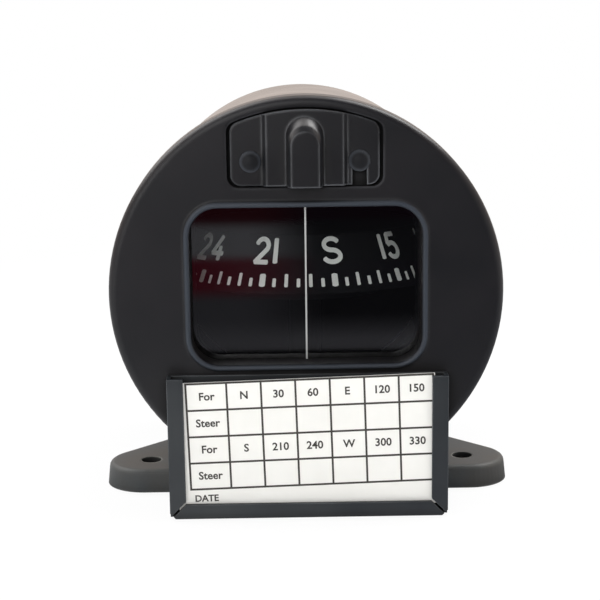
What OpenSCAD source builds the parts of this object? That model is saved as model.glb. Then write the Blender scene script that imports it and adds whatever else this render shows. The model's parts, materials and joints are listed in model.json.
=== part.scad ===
// Aircraft magnetic compass on a two-ear base, with a correction card in a sheet holder.
// Millimetres. The origin is midway between the two mounting holes, on the base's underside.
// +Z is up and the face looks along -Y.

/* [Face] */
// Diameter of the round front face
face_d = 82.5; // [80:0.5:90]
// Thickness of the front face
face_t = 6; // [5.6:0.1:7]
// Radius on the face's front edge
face_round = 1.5; // [0.5:0.1:2]
// Height of the face's lowest point above the base's underside
face_clear = 6; // [5:0.25:12]

/* [Window] */
// Width of the window opening
window_w = 48.3; // [44:0.1:50]
// Height of the window opening
window_h = 33.3; // [31:0.1:34]
// Height of the window's centre above the face's axis
window_rise = 1.75; // [0.5:0.05:2]
// Corner radius of the window opening
window_r = 6; // [4:0.5:8]
// Thickness of the round bead that frames the window
bead_d = 1.3; // [0.8:0.1:1.6]
// Depth of the glass behind the face's front
glass_depth = 4.7; // [4.1:0.1:5]
// Thickness of the glass
glass_t = 2.4; // [2:0.1:3]
// Lap of the glass behind the window's edge
glass_lap = 1.8; // [1.2:0.1:2]
// Width of the lubber line
lubber_w = 0.35; // [0.2:0.05:0.6]

/* [Case] */
// Step in radius from the face to the case
case_step = 1.55; // [0.8:0.05:2]
// Radius that the case loses from front to rear
case_taper = 2.1; // [1:0.1:2.4]
// Wall thickness of the case
case_wall = 2.6; // [2:0.1:3]
// Thickness of the gaskets
gasket_t = 0.8; // [0.5:0.1:1]

/* [Compass card] */
// Radius of the card's lower edge
card_r = 31.3; // [29:0.1:31.6]
// Height of the conical card
card_h = 12.2; // [11:0.1:12.6]
// Slope of the card's cone from the vertical, in degrees
card_slope = 25; // [20:1:30]
// Drop of the card's lower edge below the pivot point
card_drop = 7.6; // [7:0.1:9]
// Height of the pivot point above the face's axis
pivot_rise = 6; // [5:0.1:6.2]
// Largest tilt of the card about each level axis, in degrees
card_tilt = 18; // [12:1:18]
// Radius of the float under the card
float_r = 17; // [16:0.1:19]

/* [Cover] */
// Width of the cover plate
cover_w = 30.6; // [29:0.1:33]
// Thickness of the cover plate
cover_t = 1.4; // [1:0.1:1.6]
// Gap around the cover plate in its recess
cover_gap = 0.75; // [0.4:0.05:1]
// Distance of the two cover screws from the centre line
cover_screw_x = 11.2; // [11:0.1:11.8]
// Width of the cover's nose
nose_w = 8.2; // [7.4:0.1:8.6]
// Reach of the cover's nose in front of its shoulder
nose_reach = 3.2; // [2:0.1:4]

/* [Base] */
// Distance between the two mounting holes
ear_span = 70.4; // [68:0.2:80]
// Diameter of the mounting holes
ear_hole_d = 4.5; // [4:0.1:5.5]
// Radius of the ears
ear_r = 8.9; // [8:0.1:11]
// Thickness of the ears
ear_t = 5; // [4.8:0.1:6]
// Distance of the mounting holes behind the face's front
hole_setback = 21.7; // [20:0.1:23]
// Height of the pedestal that carries the case
pedestal_h = 7; // [6.5:0.1:7.2]

/* [Card holder] */
// Width of the sheet holder
holder_w = 58.8; // [56:0.1:62]
// Depth of the sheet holder
holder_d = 4.3; // [4:0.1:6]
// Thickness of the holder's sheet
sheet_t = 0.8; // [0.6:0.1:1]
// Width of the holder's side flanges
side_flange = 3.4; // [2.5:0.1:5]
// Height of the holder's bottom flange
low_flange = 3.1; // [2.5:0.1:5]
// Thickness of the correction card
paper_t = 0.5; // [0.3:0.1:0.7]
// Lean of the correction card in its holder, in degrees
paper_lean = 1.65; // [0:0.05:1.7]

/* [Hidden] */
$fn = 96;

// Clearances shared by the fits, the lap of two forms in one solid, and the screw slots
fit = 0.05;
slack = 0.3;
over = 1;
fuse = 0.2;
screw_slot = 0.45;
slot_deep = 0.6;
slot_half = 3;

// Finishes
black = "#2b2c30";
ear_black = "#3c3c3a";
rubber_black = "#1c1c1e";
steel = "#9a9da2";
brass = "#b9975a";
white = "#e9e9e4";

// Head frame: x to the right, y back from the face's front, z up from the face's axis
axis_h = face_d / 2 + face_clear;
base_z = -axis_h;
case_front = face_t + gasket_t;

// Window and glass
window_top = window_rise + window_h / 2;
window_low = window_rise - window_h / 2;
glass_w = window_w + 2 * glass_lap;
glass_h = window_h + 2 * glass_lap;
glass_r = window_r + glass_lap;
glass_back = glass_depth + glass_t;
clamp_side = 5;
clamp_edge = 1.3;
clamp_t = 1.5;
clamp_front = glass_back + gasket_t;
clamp_back = clamp_front + clamp_t;
clamp_w = glass_w + 2 * clamp_side;
clamp_h = glass_h + 2 * clamp_edge;
inner_lip = 0.9;
clamp_screw_x = glass_w / 2 + clamp_side / 2;
clamp_screw_z = 8;
clamp_screw_r = 1;
clamp_screw_deep = 2.6;
clamp_head_r = 1.8;
clamp_head_h = 1;
lubber_t = 0.25;

// Card sweep: the two tilts together lean the card by tilt_both
tilt_both = acos(pow(cos(card_tilt), 2));
card_top_r = card_r - card_h * tan(card_slope);
card_rise = card_h - card_drop;
sweep_r = sqrt(card_r * card_r + card_drop * card_drop);
sweep_top = pivot_rise + card_rise * cos(tilt_both) + card_top_r * sin(tilt_both);
card_front_gap = 1.7;
card_rear_gap = 0.6;
card_y = glass_back + card_front_gap + sweep_r;
card_sheet = 0.6;

// Case
ledge_front = card_y + sweep_r + card_rear_gap;
ledge_t = 2;
ledge_back = ledge_front + ledge_t;
diaphragm_t = 0.6;
rear_face = ledge_back + diaphragm_t;
rear_cover_t = 3.6;
rear_bore_len = 2;
case_back = rear_face + rear_bore_len;
case_front_r = face_d / 2 - case_step;
case_rear_r = case_front_r - case_taper;
case_rear_round = 1;
rear_lip = 1.5;
rear_bore_r = case_rear_r - rear_lip;
rear_cover_r = rear_bore_r - slack / 2;
ledge_w = 4.6;
ledge_r = rear_bore_r - ledge_w;
rear_screw_r = (rear_bore_r + ledge_r) / 2;
rear_screw_n = 6;
rear_shank = 1;
rear_screw_deep = 6;
rear_head_r = 1.9;
rear_head_h = 1.1;
rear_cover_edge = 1.2;
rear_cover_skin = 1.6;
rear_vent_r = 1;
fold = 0.9;
fold_flat = 2;
boss_r = 3;
rear_boss_len = 8;

// Dry pocket for the compensator and the lamp
shelf_low = max(window_rise + clamp_h / 2, sweep_top) + slack;
shelf_t = 2;
shelf_top = shelf_low + shelf_t;
pocket_len = 22.2;
pocket_back = case_front + pocket_len;
pocket_wall = 2;

// Face screws, two above in the cover's recess and two below behind the holder
face_screw_in = 2.7;
face_screw_r = case_front_r - case_wall - face_screw_in;
face_screw_angles = [-16, 16, 155, 205];
face_screw_shank = 1.2;
face_screw_head = 2;
face_screw_head_y = 3;
face_head_h = 1.4;
face_boss_len = 3.7;
face_boss_back = case_front + face_boss_len;
face_hole_short = 0.5;
gasket_lap = 0.5;

// Cover and its recess
cover_sink = 0.2;
recess_depth = cover_t + cover_sink;
recess_band = 2.85;
recess_low = window_top + bead_d + recess_band;
recess_w = cover_w + 2 * cover_gap;
recess_rim = 2.3;
recess_arch = face_d / 2 - recess_rim;
recess_corner = 2.4;
cover_corner = 2.2;
cover_low = recess_low + cover_gap / 2;
cover_arch = recess_arch - cover_gap / 2;
cover_front = recess_depth - cover_t;
shoulder_w = 17.6;
shoulder_t = 1.2;
shoulder_bevel = 0.9;
shoulder_front = cover_front - shoulder_t;
nose_front = shoulder_front - nose_reach;
nose_drop = 0.65;
nose_top = cover_arch - nose_drop;
nose_slope = 3;
nose_draft = 0.8;
nose_round = 0.9;
nose_step = 0.6;
nose_wall = 0.8;
cover_head_r = 2.28;
cover_head_h = 1.2;
cover_shank = 1;
cover_screw_back = 5;
cover_slot_w = 3;

// Compensator: two pairs of geared shafts, each with a cross magnet
comp_rise = 4.1;
comp_z = shelf_top + comp_rise;
gear_r = 2.5;
gear_teeth = 12;
gear_tip = 0.32;
gear_root = 0.42;
gear_len = 2;
// Corners of a tooth: share of the tooth pitch, and height from the pitch circle
tooth_corners = [[-0.3, -gear_root], [-0.12, gear_tip], [0.12, gear_tip], [0.3, -gear_root]];
adjuster_x = 6.5;
partner_x = adjuster_x + 2 * gear_r;
shaft_r = 1;
hub_r = 1.6;
hub_len = 3;
magnet_r = 0.75;
magnet_len = 2 * (gear_r - slack);
frame_floor = 0.9;
frame_plate = 2;
frame_gap = 2.2;
frame_len = 18;
frame_side = 4;
frame_over = 0.8;
frame_front = case_front + frame_gap;
frame_back = frame_front + frame_len;
frame_half = partner_x + frame_side;
frame_top = comp_z + shaft_r + frame_over;
gear_gap = 0.4;
gear_front = frame_front + frame_plate + gear_gap;
magnet_y = (frame_front + frame_back) / 2;
adjuster_head_r = 2.1;
adjuster_head_front = 2.2;
adjuster_head_len = 2;
adjuster_slot = 0.6;
adjuster_slot_deep = 0.9;
adjuster_clear = 0.2;
adjuster_hole_r = adjuster_head_r + adjuster_clear;
shaft_proud = 0.6;
shaft_end = frame_back + shaft_proud;
press_fit = 0.02;
frame_notch = 4.4;
frame_notch_len = 8;
frame_screw_in = 2;
frame_screw_setback = 4;
frame_screw_x = frame_half - frame_screw_in;
frame_screw_y = frame_back - frame_screw_setback;
frame_screw_r = 0.8;
frame_screw_head = 1.5;
frame_head_h = 0.8;
frame_screw_deep = 1.3;

// Lamp
socket_r = 2.5;
socket_front = cover_front;
socket_proud = 1;
socket_back = case_front + socket_proud;
bulb_r = 1.7;
bulb_len = 6.5;
bulb_cap_r = 1.3;
bulb_cap_len = 3;
filter_half = 4;
filter_t = 1;
filter_gap = 2.6;
filter_front = case_front + filter_gap;
filter_len = 6;
filter_ledge = 0.8;

// Float, pivot and jewel, all about the upright axis through the pivot point
tip_r = 0.5;
jewel_cone = 42;
jewel_r = 1.6;
jewel_rise = 0.6;
jewel_deep = 1.1;
carrier_neck_r = 2.1;
carrier_flange_r = 2.6;
carrier_flange_t = 1.5;
post_r = 3.6;
cap_t = 1.7;
cap_drop = 2;
cap_top = pivot_rise - cap_drop;
post_top = cap_top - cap_t;
carrier_low = post_top - carrier_flange_t;
spring_turns = 6;
spring_wire = 0.4;
spring_len = 6.4;
post_bore_low = carrier_low - spring_len;
keel_half = 6.5;
keel_h = 7.8;
keel_top = base_z + pedestal_h + keel_h;
keel_len = 36;
post_flange_r = 5;
post_flange_t = 2;
post_spigot_r = 2.5;
post_spigot_len = 3;
well_rise = 2.4;
well_top = pivot_rise + well_rise;
well_top_r = 4.8;
float_drop = 11;
float_low = pivot_rise - float_drop;
well_low_r = 10;
float_top = pivot_rise + card_rise - card_sheet;
collar_r = 2.4;
collar_flange_r = 4;
collar_flange_t = 0.7;
collar_proud = 0.6;
collar_top = float_top + collar_proud;
pin_r = 1.2;
pin_slope = 12;
pin_proud = 0.8;
pin_top = collar_top + pin_proud;
card_hub_r = 7;
card_magnet_r = 2;
card_magnet_len = 18;
card_magnet_in = 4;
card_magnet_drop = 8.2;
card_magnet_x = float_r - card_magnet_in;
card_magnet_z = pivot_rise - card_magnet_drop;

// Base
ear_out = 1;
ear_back = 0.6;
ear_draft = 0.4;
ear_round = 1.2;
pad_half = 12;
base_screw_gap = 13;
base_screw_r = 2;
base_head_r = 3.9;
base_head_h = 3.4;
base_web = 3;
base_head_seat = pedestal_h - base_web;
base_screw_reach = 5;
hex_r = 2;
hex_deep = 1.8;
pad_h = 6;
rear_corner_x = 10;
rear_corner_r = 8;
rear_corner_in = 2.8;
rear_corner_y = card_y + base_screw_gap - hole_setback - rear_corner_in;
pedestal_corner_r = 6;
pedestal_in = 1.5;
pedestal_front = ear_back - ear_r + pedestal_in;

// Holder and correction card
holder_gap = 0.65;
holder_h = axis_h + window_low - bead_d - holder_gap;
holder_screw_x = 21;
holder_screw_drop = 9.6;
holder_screw_z = window_low - holder_screw_drop;
holder_screw_r = 1.2;
holder_head_r = 2.1;
holder_head_h = 1;
holder_screw_back = 4;
mitre_gap = 0.5;
corner_cut = 1.2;
paper_side = 1.2;
paper_short = 2;
paper_gap = 0.2;
paper_lift = 0.1;
paper_w = holder_w - 2 * (sheet_t + paper_side);
paper_h = holder_h - paper_short;
paper_front = -holder_d + sheet_t + paper_gap;

// Filler and grommet on the case's flanks
filler_angle = -80;
filler_setback = 19;
filler_y = card_y + filler_setback;
filler_r = 2.5;
filler_boss_r = 5;
filler_head_r = 4;
filler_head_h = 1.6;
filler_seal_t = 0.6;
filler_proud = 0.8;
filler_reach = 3.6;
filler_slot = 0.8;
filler_slot_half = 5;
grommet_angle = 44;
grommet_setback = 13.2;
grommet_y = case_front + grommet_setback;
grommet_r = 2.6;
grommet_bore_r = 1.2;
grommet_flange_r = 3.8;
grommet_flange_t = 0.6;
grommet_boss_r = 4.4;
grommet_proud = 0.5;
grommet_reach = 1;

// Outer radius of the case at depth y
function case_r(y) = case_front_r - case_taper * (y - case_front) / (case_back - case_front);

// Places its children in the head frame
module head() translate([0, -hole_setback, axis_h]) children();

// Extrudes an x-z outline from depth y0 to depth y1
module along_y(y0, y1) translate([0, y1, 0]) rotate([90, 0, 0]) linear_extrude(y1 - y0) children();

// Turns an outline of radius and depth about the face's axis
module turned() rotate([-90, 0, 0]) rotate_extrude() children();

// A round bar along y, centred at x and z
module bar_y(x, z, r, y0, y1) along_y(y0, y1) translate([x, z]) circle(r);

// Places its children at an angle round the case, with z pointing outwards
module radial(angle, y) translate([0, y, 0]) rotate([0, angle, 0]) children();

// A rectangle with round corners
module rounded_rect(w, h, r) {
    square([w - 2 * r, h], center = true);
    square([w, h - 2 * r], center = true);
    for (x = [-1, 1], z = [-1, 1])
        translate([x * (w / 2 - r), z * (h / 2 - r)]) circle(r);
}

// An upright plate outline whose top follows an arch about the face's axis
module arched_outline(w, low, arch, corner) {
    cx = w / 2 - corner;
    cz = sqrt(pow(arch - corner, 2) - cx * cx);
    lean = low / cz;
    translate([-w / 2, low + corner]) square([w, cz - low - corner]);
    translate([-cx, low]) square([2 * cx, cz - low]);
    intersection() {
        circle(arch);
        polygon([[-cx * lean, low], [cx * lean, low], [2 * cx, 2 * cz], [-2 * cx, 2 * cz]]);
    }
    for (x = [-cx, cx]) {
        translate([x, cz]) circle(corner);
        translate([x, low + corner]) circle(corner);
    }
}

// An upright outline with a round top, standing on z = low
module nose_outline(w, low, top) {
    translate([-w / 2, low]) square([w, top - w / 2 - low]);
    translate([0, top - w / 2]) circle(w / 2);
}

// A domed screw head that faces the front, with its flat back at depth y
module domed_head(x, z, r, h, y) {
    ball_r = (r * r + h * h) / (2 * h);
    translate([x, 0, z]) intersection() {
        translate([0, y - h + ball_r, 0]) sphere(ball_r);
        bar_y(0, 0, r, y - h - over, y);
    }
}

// A level slot of width w across a screw head, from depth y0 to depth y1
module slot_y(x, z, w, y0, y1) translate([x - slot_half, y0, z - w / 2])
    cube([2 * slot_half, y1 - y0, w]);

// Places of the four face screws in the face's plane
module at_face_screws() {
    for (a = face_screw_angles)
        translate([face_screw_r * sin(a), 0, face_screw_r * cos(a)]) children();
}

// Places of the rear cover's screws
module at_rear_screws() {
    for (i = [0 : rear_screw_n - 1])
        rotate([0, i * 360 / rear_screw_n, 0]) translate([0, 0, rear_screw_r]) children();
}

// Places of the glass clamp's screws
module at_clamp_screws() {
    for (x = [-1, 1], z = [-1, 1])
        translate([x * clamp_screw_x, 0, window_rise + z * clamp_screw_z]) children();
}

// The round bead that frames the window
module window_bead() {
    mid = bead_d / 2;
    w = window_w / 2 + mid;
    h = window_h / 2 + mid;
    r = window_r + mid;
    translate([0, 0, window_rise]) {
        for (s = [-1, 1]) {
            translate([s * w, 0, r - h]) cylinder(r = mid, h = 2 * (h - r));
            translate([r - w, 0, s * h]) rotate([0, 90, 0]) cylinder(r = mid, h = 2 * (w - r));
        }
        for (q = [[1, 1, 0], [-1, 1, 90], [-1, -1, 180], [1, -1, 270]])
            translate([q[0] * (w - r), 0, q[1] * (h - r)]) rotate([90, 0, 0])
                rotate_extrude(start = q[2], angle = 90) translate([r, 0]) circle(mid);
    }
}

module front_face() color(black) head() difference() {
    union() {
        turned() {
            square([face_d / 2 - face_round, face_t]);
            translate([0, face_round]) square([face_d / 2, face_t - face_round]);
            intersection() {
                translate([face_d / 2 - face_round, face_round]) circle(face_round);
                square([face_d, face_t]);
            }
        }
        along_y(face_t - over, clamp_front) clamp_outline();
        window_bead();
    }
    along_y(-over, glass_depth + over) translate([0, window_rise])
        rounded_rect(window_w, window_h, window_r);
    along_y(glass_depth, clamp_front + over) translate([0, window_rise])
        rounded_rect(glass_w + 2 * fit, glass_h + 2 * fit, glass_r + fit);
    along_y(-over, recess_depth) arched_outline(recess_w, recess_low, recess_arch, recess_corner);
    at_face_screws() {
        bar_y(0, 0, face_screw_shank + fit, -over, face_t + over);
        bar_y(0, 0, face_screw_head + fit, -over, face_screw_head_y);
    }
    at_clamp_screws() bar_y(0, 0, clamp_screw_r, clamp_front - clamp_screw_deep - slack, clamp_front + over);
    for (s = [-1, 1]) {
        bar_y(s * cover_screw_x, comp_z, cover_shank + fit, 0, cover_screw_back + slack);
        bar_y(s * adjuster_x, comp_z, adjuster_hole_r, 0, face_t + over);
        bar_y(s * holder_screw_x, holder_screw_z, holder_screw_r, -over, holder_screw_back + slack);
    }
    bar_y(0, comp_z, socket_r + fit, 0, face_t + over);
}

module face_gasket() color(rubber_black) head() difference() {
    along_y(face_t, case_front) union() {
        difference() {
            circle(case_front_r - slack);
            circle(case_front_r - case_wall);
        }
        intersection() {
            circle(case_front_r - case_wall + gasket_lap);
            union() {
                translate([-case_front_r, shelf_low]) square([2 * case_front_r, shelf_t]);
                for (a = face_screw_angles)
                    translate([face_screw_r * sin(a), face_screw_r * cos(a)]) circle(boss_r);
            }
        }
    }
    at_face_screws() bar_y(0, 0, face_screw_shank + fit, 0, case_front + over);
}

module face_screws() color(steel) head() at_face_screws() difference() {
    union() {
        bar_y(0, 0, face_screw_head, face_screw_head_y - face_head_h, face_screw_head_y);
        bar_y(0, 0, face_screw_shank, face_screw_head_y - fuse, face_boss_back - face_hole_short - slack);
    }
    slot_y(0, 0, screw_slot, 0, face_screw_head_y - face_head_h + slot_deep);
}

module window_glass() color("#9fb2b8", 0.35) head() along_y(glass_depth, glass_back)
    translate([0, window_rise]) rounded_rect(glass_w, glass_h, glass_r);

module lubber_line() color(white) head()
    translate([-lubber_w / 2, glass_depth - lubber_t, window_low])
        cube([lubber_w, lubber_t, window_h]);

// Outline of the glass clamp's seat, kept clear of the case's bore
module clamp_outline() intersection() {
    translate([0, window_rise]) rounded_rect(clamp_w, clamp_h, glass_r + clamp_edge);
    circle(case_r(clamp_back) - case_wall - slack);
}

// Outline that leaves the inner lip, which shows through the glass
module glass_ring() difference() {
    children();
    translate([0, window_rise])
        rounded_rect(window_w - 2 * inner_lip, window_h - 2 * inner_lip, window_r - inner_lip);
}

module glass_gasket() color(rubber_black) head()
    along_y(glass_back, clamp_front) glass_ring()
        translate([0, window_rise]) rounded_rect(glass_w, glass_h, glass_r);

module glass_clamp() color(black) head() difference() {
    along_y(clamp_front, clamp_back) glass_ring() clamp_outline();
    at_clamp_screws() bar_y(0, 0, clamp_screw_r + fit, 0, clamp_back + over);
}

module clamp_screws() color(steel) head() at_clamp_screws() {
    bar_y(0, 0, clamp_screw_r, clamp_front - clamp_screw_deep, clamp_back + fuse);
    bar_y(0, 0, clamp_head_r, clamp_back, clamp_back + clamp_head_h);
}

// Solid inside of the case, from the front plane to depth y1
module case_core(y1) turned() polygon([
    [0, case_front - over], [case_r(case_front - over) - case_wall, case_front - over],
    [case_r(y1) - case_wall, y1], [0, y1]
]);

// Solid outer form of the case, with a round rear edge
module case_form() turned() {
    edge_y = case_back - case_rear_round;
    polygon([[0, case_front], [case_front_r, case_front], [case_r(edge_y), edge_y], [0, edge_y]]);
    square_r = case_r(edge_y) - case_rear_round;
    translate([0, case_front]) square([square_r, case_back - case_front]);
    translate([square_r, edge_y]) circle(case_rear_round);
}

module case_shell() color(black) head() difference() {
    union() {
        difference() {
            case_form();
            case_core(ledge_front);
        }
        intersection() {
            case_form();
            union() {
                translate([-face_d, case_front, shelf_low])
                    cube([2 * face_d, pocket_back + pocket_wall - case_front, shelf_t]);
                translate([-face_d, pocket_back, shelf_low]) cube([2 * face_d, pocket_wall, face_d]);
                at_face_screws() bar_y(0, 0, boss_r, case_front, face_boss_back);
                at_rear_screws() bar_y(0, 0, boss_r, ledge_front - rear_boss_len, ledge_back);
                translate([-keel_half, card_y - keel_len / 2, base_z])
                    cube([2 * keel_half, keel_len, keel_top - base_z]);
            }
        }
        difference() {
            translate([-pad_half, card_y - keel_len / 2, base_z + pedestal_h])
                cube([2 * pad_half, keel_len, pad_h]);
            case_core(ledge_front);
        }
        radial(filler_angle, filler_y) translate([0, 0, case_r(filler_y) - case_wall / 2])
            cylinder(r = filler_boss_r, h = case_wall / 2 + filler_proud);
        radial(grommet_angle, grommet_y) translate([0, 0, case_r(grommet_y) - case_wall / 2])
            cylinder(r = grommet_boss_r, h = case_wall / 2 + grommet_proud);
    }
    bar_y(0, 0, ledge_r, ledge_front - over, case_back + over);
    bar_y(0, 0, rear_bore_r, ledge_back, case_back + over);
    at_face_screws() bar_y(0, 0, face_screw_shank, case_front - over, face_boss_back - face_hole_short);
    at_rear_screws() bar_y(0, 0, rear_shank, ledge_front - rear_screw_deep - slack, ledge_back + over);
    radial(filler_angle, filler_y) cylinder(r = filler_r, h = face_d);
    radial(grommet_angle, grommet_y) cylinder(r = grommet_r, h = face_d);
    for (s = [-1, 1])
        translate([0, card_y + s * base_screw_gap, base_z])
            cylinder(r = base_screw_r, h = pedestal_h + pad_h);
    translate([0, card_y, keel_top - post_spigot_len]) cylinder(r = post_spigot_r, h = face_d / 3);
    translate([-filter_half, filter_front, shelf_top - filter_t])
        cube([2 * filter_half, filter_len, filter_t + comp_rise]);
    translate([-filter_half + filter_ledge, filter_front + filter_ledge, shelf_low - over])
        cube([2 * (filter_half - filter_ledge), filter_len - 2 * filter_ledge, shelf_t]);
    for (s = [-1, 1])
        translate([s * frame_screw_x, frame_screw_y, shelf_top - frame_screw_deep - fuse])
            cylinder(r = frame_screw_r, h = comp_rise);
}

module expansion_diaphragm() color(brass) head() difference() {
    turned() polygon(concat(
        [[0, ledge_back]],
        [for (i = [1 : 4]) [ledge_r * (2 * i - 1) / 9, ledge_back + (i % 2 == 0 ? -fold : fold)]],
        [[ledge_r - fold_flat, ledge_back], [rear_cover_r, ledge_back], [rear_cover_r, rear_face]],
        [[ledge_r - fold_flat, rear_face]],
        [for (i = [4 : -1 : 1]) [ledge_r * (2 * i - 1) / 9, rear_face + (i % 2 == 0 ? -fold : fold)]],
        [[0, rear_face]]
    ));
    at_rear_screws() bar_y(0, 0, rear_shank + fit, ledge_front, rear_face + over);
}

module rear_cover() color(black) head() {
    back = rear_face + rear_cover_t;
    difference() {
        turned() {
            square_r = rear_cover_r - rear_cover_edge;
            translate([0, rear_face]) square([square_r, rear_cover_t]);
            translate([0, rear_face]) square([rear_cover_r, rear_cover_t - rear_cover_edge]);
            translate([square_r, back - rear_cover_edge]) circle(rear_cover_edge);
        }
        bar_y(0, 0, ledge_r - over, rear_face - over, back - rear_cover_skin);
        at_rear_screws() bar_y(0, 0, rear_shank + fit, rear_face - over, back + over);
        bar_y(0, 0, rear_vent_r, rear_face, back + over);
    }
}

module rear_cover_screws() color(steel) head() at_rear_screws() difference() {
    back = rear_face + rear_cover_t;
    union() {
        bar_y(0, 0, rear_shank, ledge_front - rear_screw_deep, back + fuse);
        mirror([0, 1, 0]) domed_head(0, 0, rear_head_r, rear_head_h, -back);
    }
    slot_y(0, 0, screw_slot, back + rear_head_h - slot_deep, back + rear_head_h + over);
}

module filler_plug() color(brass) head() radial(filler_angle, filler_y) {
    seat = case_r(filler_y) + filler_proud + filler_seal_t;
    difference() {
        union() {
            translate([0, 0, seat - filler_reach]) cylinder(r = filler_r, h = filler_reach);
            translate([0, 0, seat]) cylinder(r = filler_head_r, h = filler_head_h);
        }
        translate([-filler_slot_half, -filler_slot / 2, seat + filler_head_h - filler_slot])
            cube([2 * filler_slot_half, filler_slot, filler_slot + over]);
    }
}

module filler_seal() color(rubber_black) head() radial(filler_angle, filler_y)
    translate([0, 0, case_r(filler_y) + filler_proud]) difference() {
        cylinder(r = filler_head_r, h = filler_seal_t);
        translate([0, 0, -over]) cylinder(r = filler_r, h = filler_seal_t + 2 * over);
    }

module lead_grommet() color(rubber_black) head() radial(grommet_angle, grommet_y) {
    seat = case_r(grommet_y) + grommet_proud;
    difference() {
        union() {
            translate([0, 0, seat - case_wall - grommet_reach])
                cylinder(r = grommet_r, h = case_wall + grommet_reach);
            translate([0, 0, seat]) cylinder(r = grommet_flange_r, h = grommet_flange_t);
        }
        translate([0, 0, seat - case_wall - grommet_reach - over])
            cylinder(r = grommet_bore_r, h = case_wall + grommet_reach + grommet_flange_t + 2 * over);
    }
}

// A round foot of the base with a drafted side and a rounded top edge
module puck(x, y, r, h) translate([x, y, 0]) rotate_extrude($fn = 48) polygon(concat(
    [[0, 0], [r, 0]],
    [for (a = [0 : 22.5 : 90])
        [r - ear_draft - ear_round * (1 - cos(a)), h - ear_round * (1 - sin(a))]],
    [[0, h]]
));

module mount_base() color(ear_black) difference() {
    union() {
        hull() for (s = [-1, 1]) {
            puck(s * (ear_span / 2 + ear_out), ear_back, ear_r, ear_t);
            puck(s * rear_corner_x, rear_corner_y, rear_corner_r, ear_t);
        }
        hull() for (s = [-1, 1]) {
            puck(s * rear_corner_x, pedestal_front + pedestal_corner_r, pedestal_corner_r, pedestal_h);
            puck(s * rear_corner_x, rear_corner_y, rear_corner_r, pedestal_h);
        }
    }
    for (s = [-1, 1]) {
        translate([s * ear_span / 2, 0, -over]) cylinder(d = ear_hole_d, h = ear_t + 2 * over);
        translate([0, card_y - hole_setback + s * base_screw_gap, -over]) {
            cylinder(r = base_screw_r + slack, h = pedestal_h + 2 * over);
            cylinder(r = base_head_r + slack, h = base_head_seat + over);
        }
    }
}

module base_screws() color(steel) for (s = [-1, 1])
    translate([0, card_y - hole_setback + s * base_screw_gap, 0]) difference() {
        union() {
            translate([0, 0, base_head_seat - base_head_h]) cylinder(r = base_head_r, h = base_head_h);
            translate([0, 0, base_head_seat]) cylinder(r = base_screw_r, h = base_web + base_screw_reach);
        }
        translate([0, 0, base_head_seat - base_head_h - over])
            cylinder(r = hex_r, h = hex_deep + over, $fn = 6);
    }

// Cuts a 45 degree mitre between the holder's side and bottom flanges
module holder_mitre() translate([-holder_w / 2, -holder_d - over, base_z]) rotate([0, -45, 0])
    translate([-over, 0, -mitre_gap / 2])
        cube([over + sqrt(2) * max(side_flange, low_flange) + over, sheet_t + over, mitre_gap]);

// Cuts a small 45 degree corner off the holder's front
module holder_corner() translate([-holder_w / 2, -holder_d - over, base_z]) rotate([0, 45, 0])
    translate([-corner_cut, 0, -corner_cut])
        cube([2 * corner_cut, over + 2 * sheet_t, corner_cut * (1 + sqrt(0.5))]);

module card_holder() color(black) head() difference() {
    union() {
        translate([-holder_w / 2, -sheet_t, base_z]) cube([holder_w, sheet_t, holder_h]);
        translate([-holder_w / 2, -holder_d, base_z]) cube([holder_w, holder_d, sheet_t]);
        translate([-holder_w / 2, -holder_d, base_z]) cube([holder_w, sheet_t, low_flange]);
        for (s = [0, 1]) mirror([s, 0, 0]) {
            translate([-holder_w / 2, -holder_d, base_z]) cube([sheet_t, holder_d, holder_h]);
            translate([-holder_w / 2, -holder_d, base_z]) cube([side_flange, sheet_t, holder_h]);
        }
    }
    for (s = [0, 1]) mirror([s, 0, 0]) {
        holder_mitre();
        holder_corner();
        bar_y(holder_screw_x, holder_screw_z, holder_screw_r + fit, -sheet_t - over, over);
    }
}

module holder_screws() color(steel) head() for (s = [-1, 1]) difference() {
    union() {
        bar_y(s * holder_screw_x, holder_screw_z, holder_screw_r, -sheet_t - fuse, holder_screw_back);
        domed_head(s * holder_screw_x, holder_screw_z, holder_head_r, holder_head_h, -sheet_t);
    }
    slot_y(s * holder_screw_x, holder_screw_z, screw_slot,
        -sheet_t - holder_head_h - over, -sheet_t - holder_head_h + slot_deep);
}

module correction_card() color(white) head()
    translate([-paper_w / 2, paper_front, base_z + sheet_t + paper_lift])
        rotate([0, -paper_lean, 0]) cube([paper_w, paper_t, paper_h]);

// The cover's nose, grown or shrunk by a margin for its outside or inside
module nose_form(margin, y_front, y_back) hull() {
    low = cover_low - margin;
    wide = nose_w + 2 * margin;
    slim = wide - 2 * nose_draft;
    front_top = nose_top + margin - nose_slope;
    along_y(y_back - fit, y_back) nose_outline(wide, low, nose_top + margin);
    along_y(y_front + nose_round, y_back) nose_outline(slim + fuse, low, front_top + nose_step);
    along_y(y_front, y_back) nose_outline(slim - nose_round, low, front_top - nose_step);
}

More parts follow.
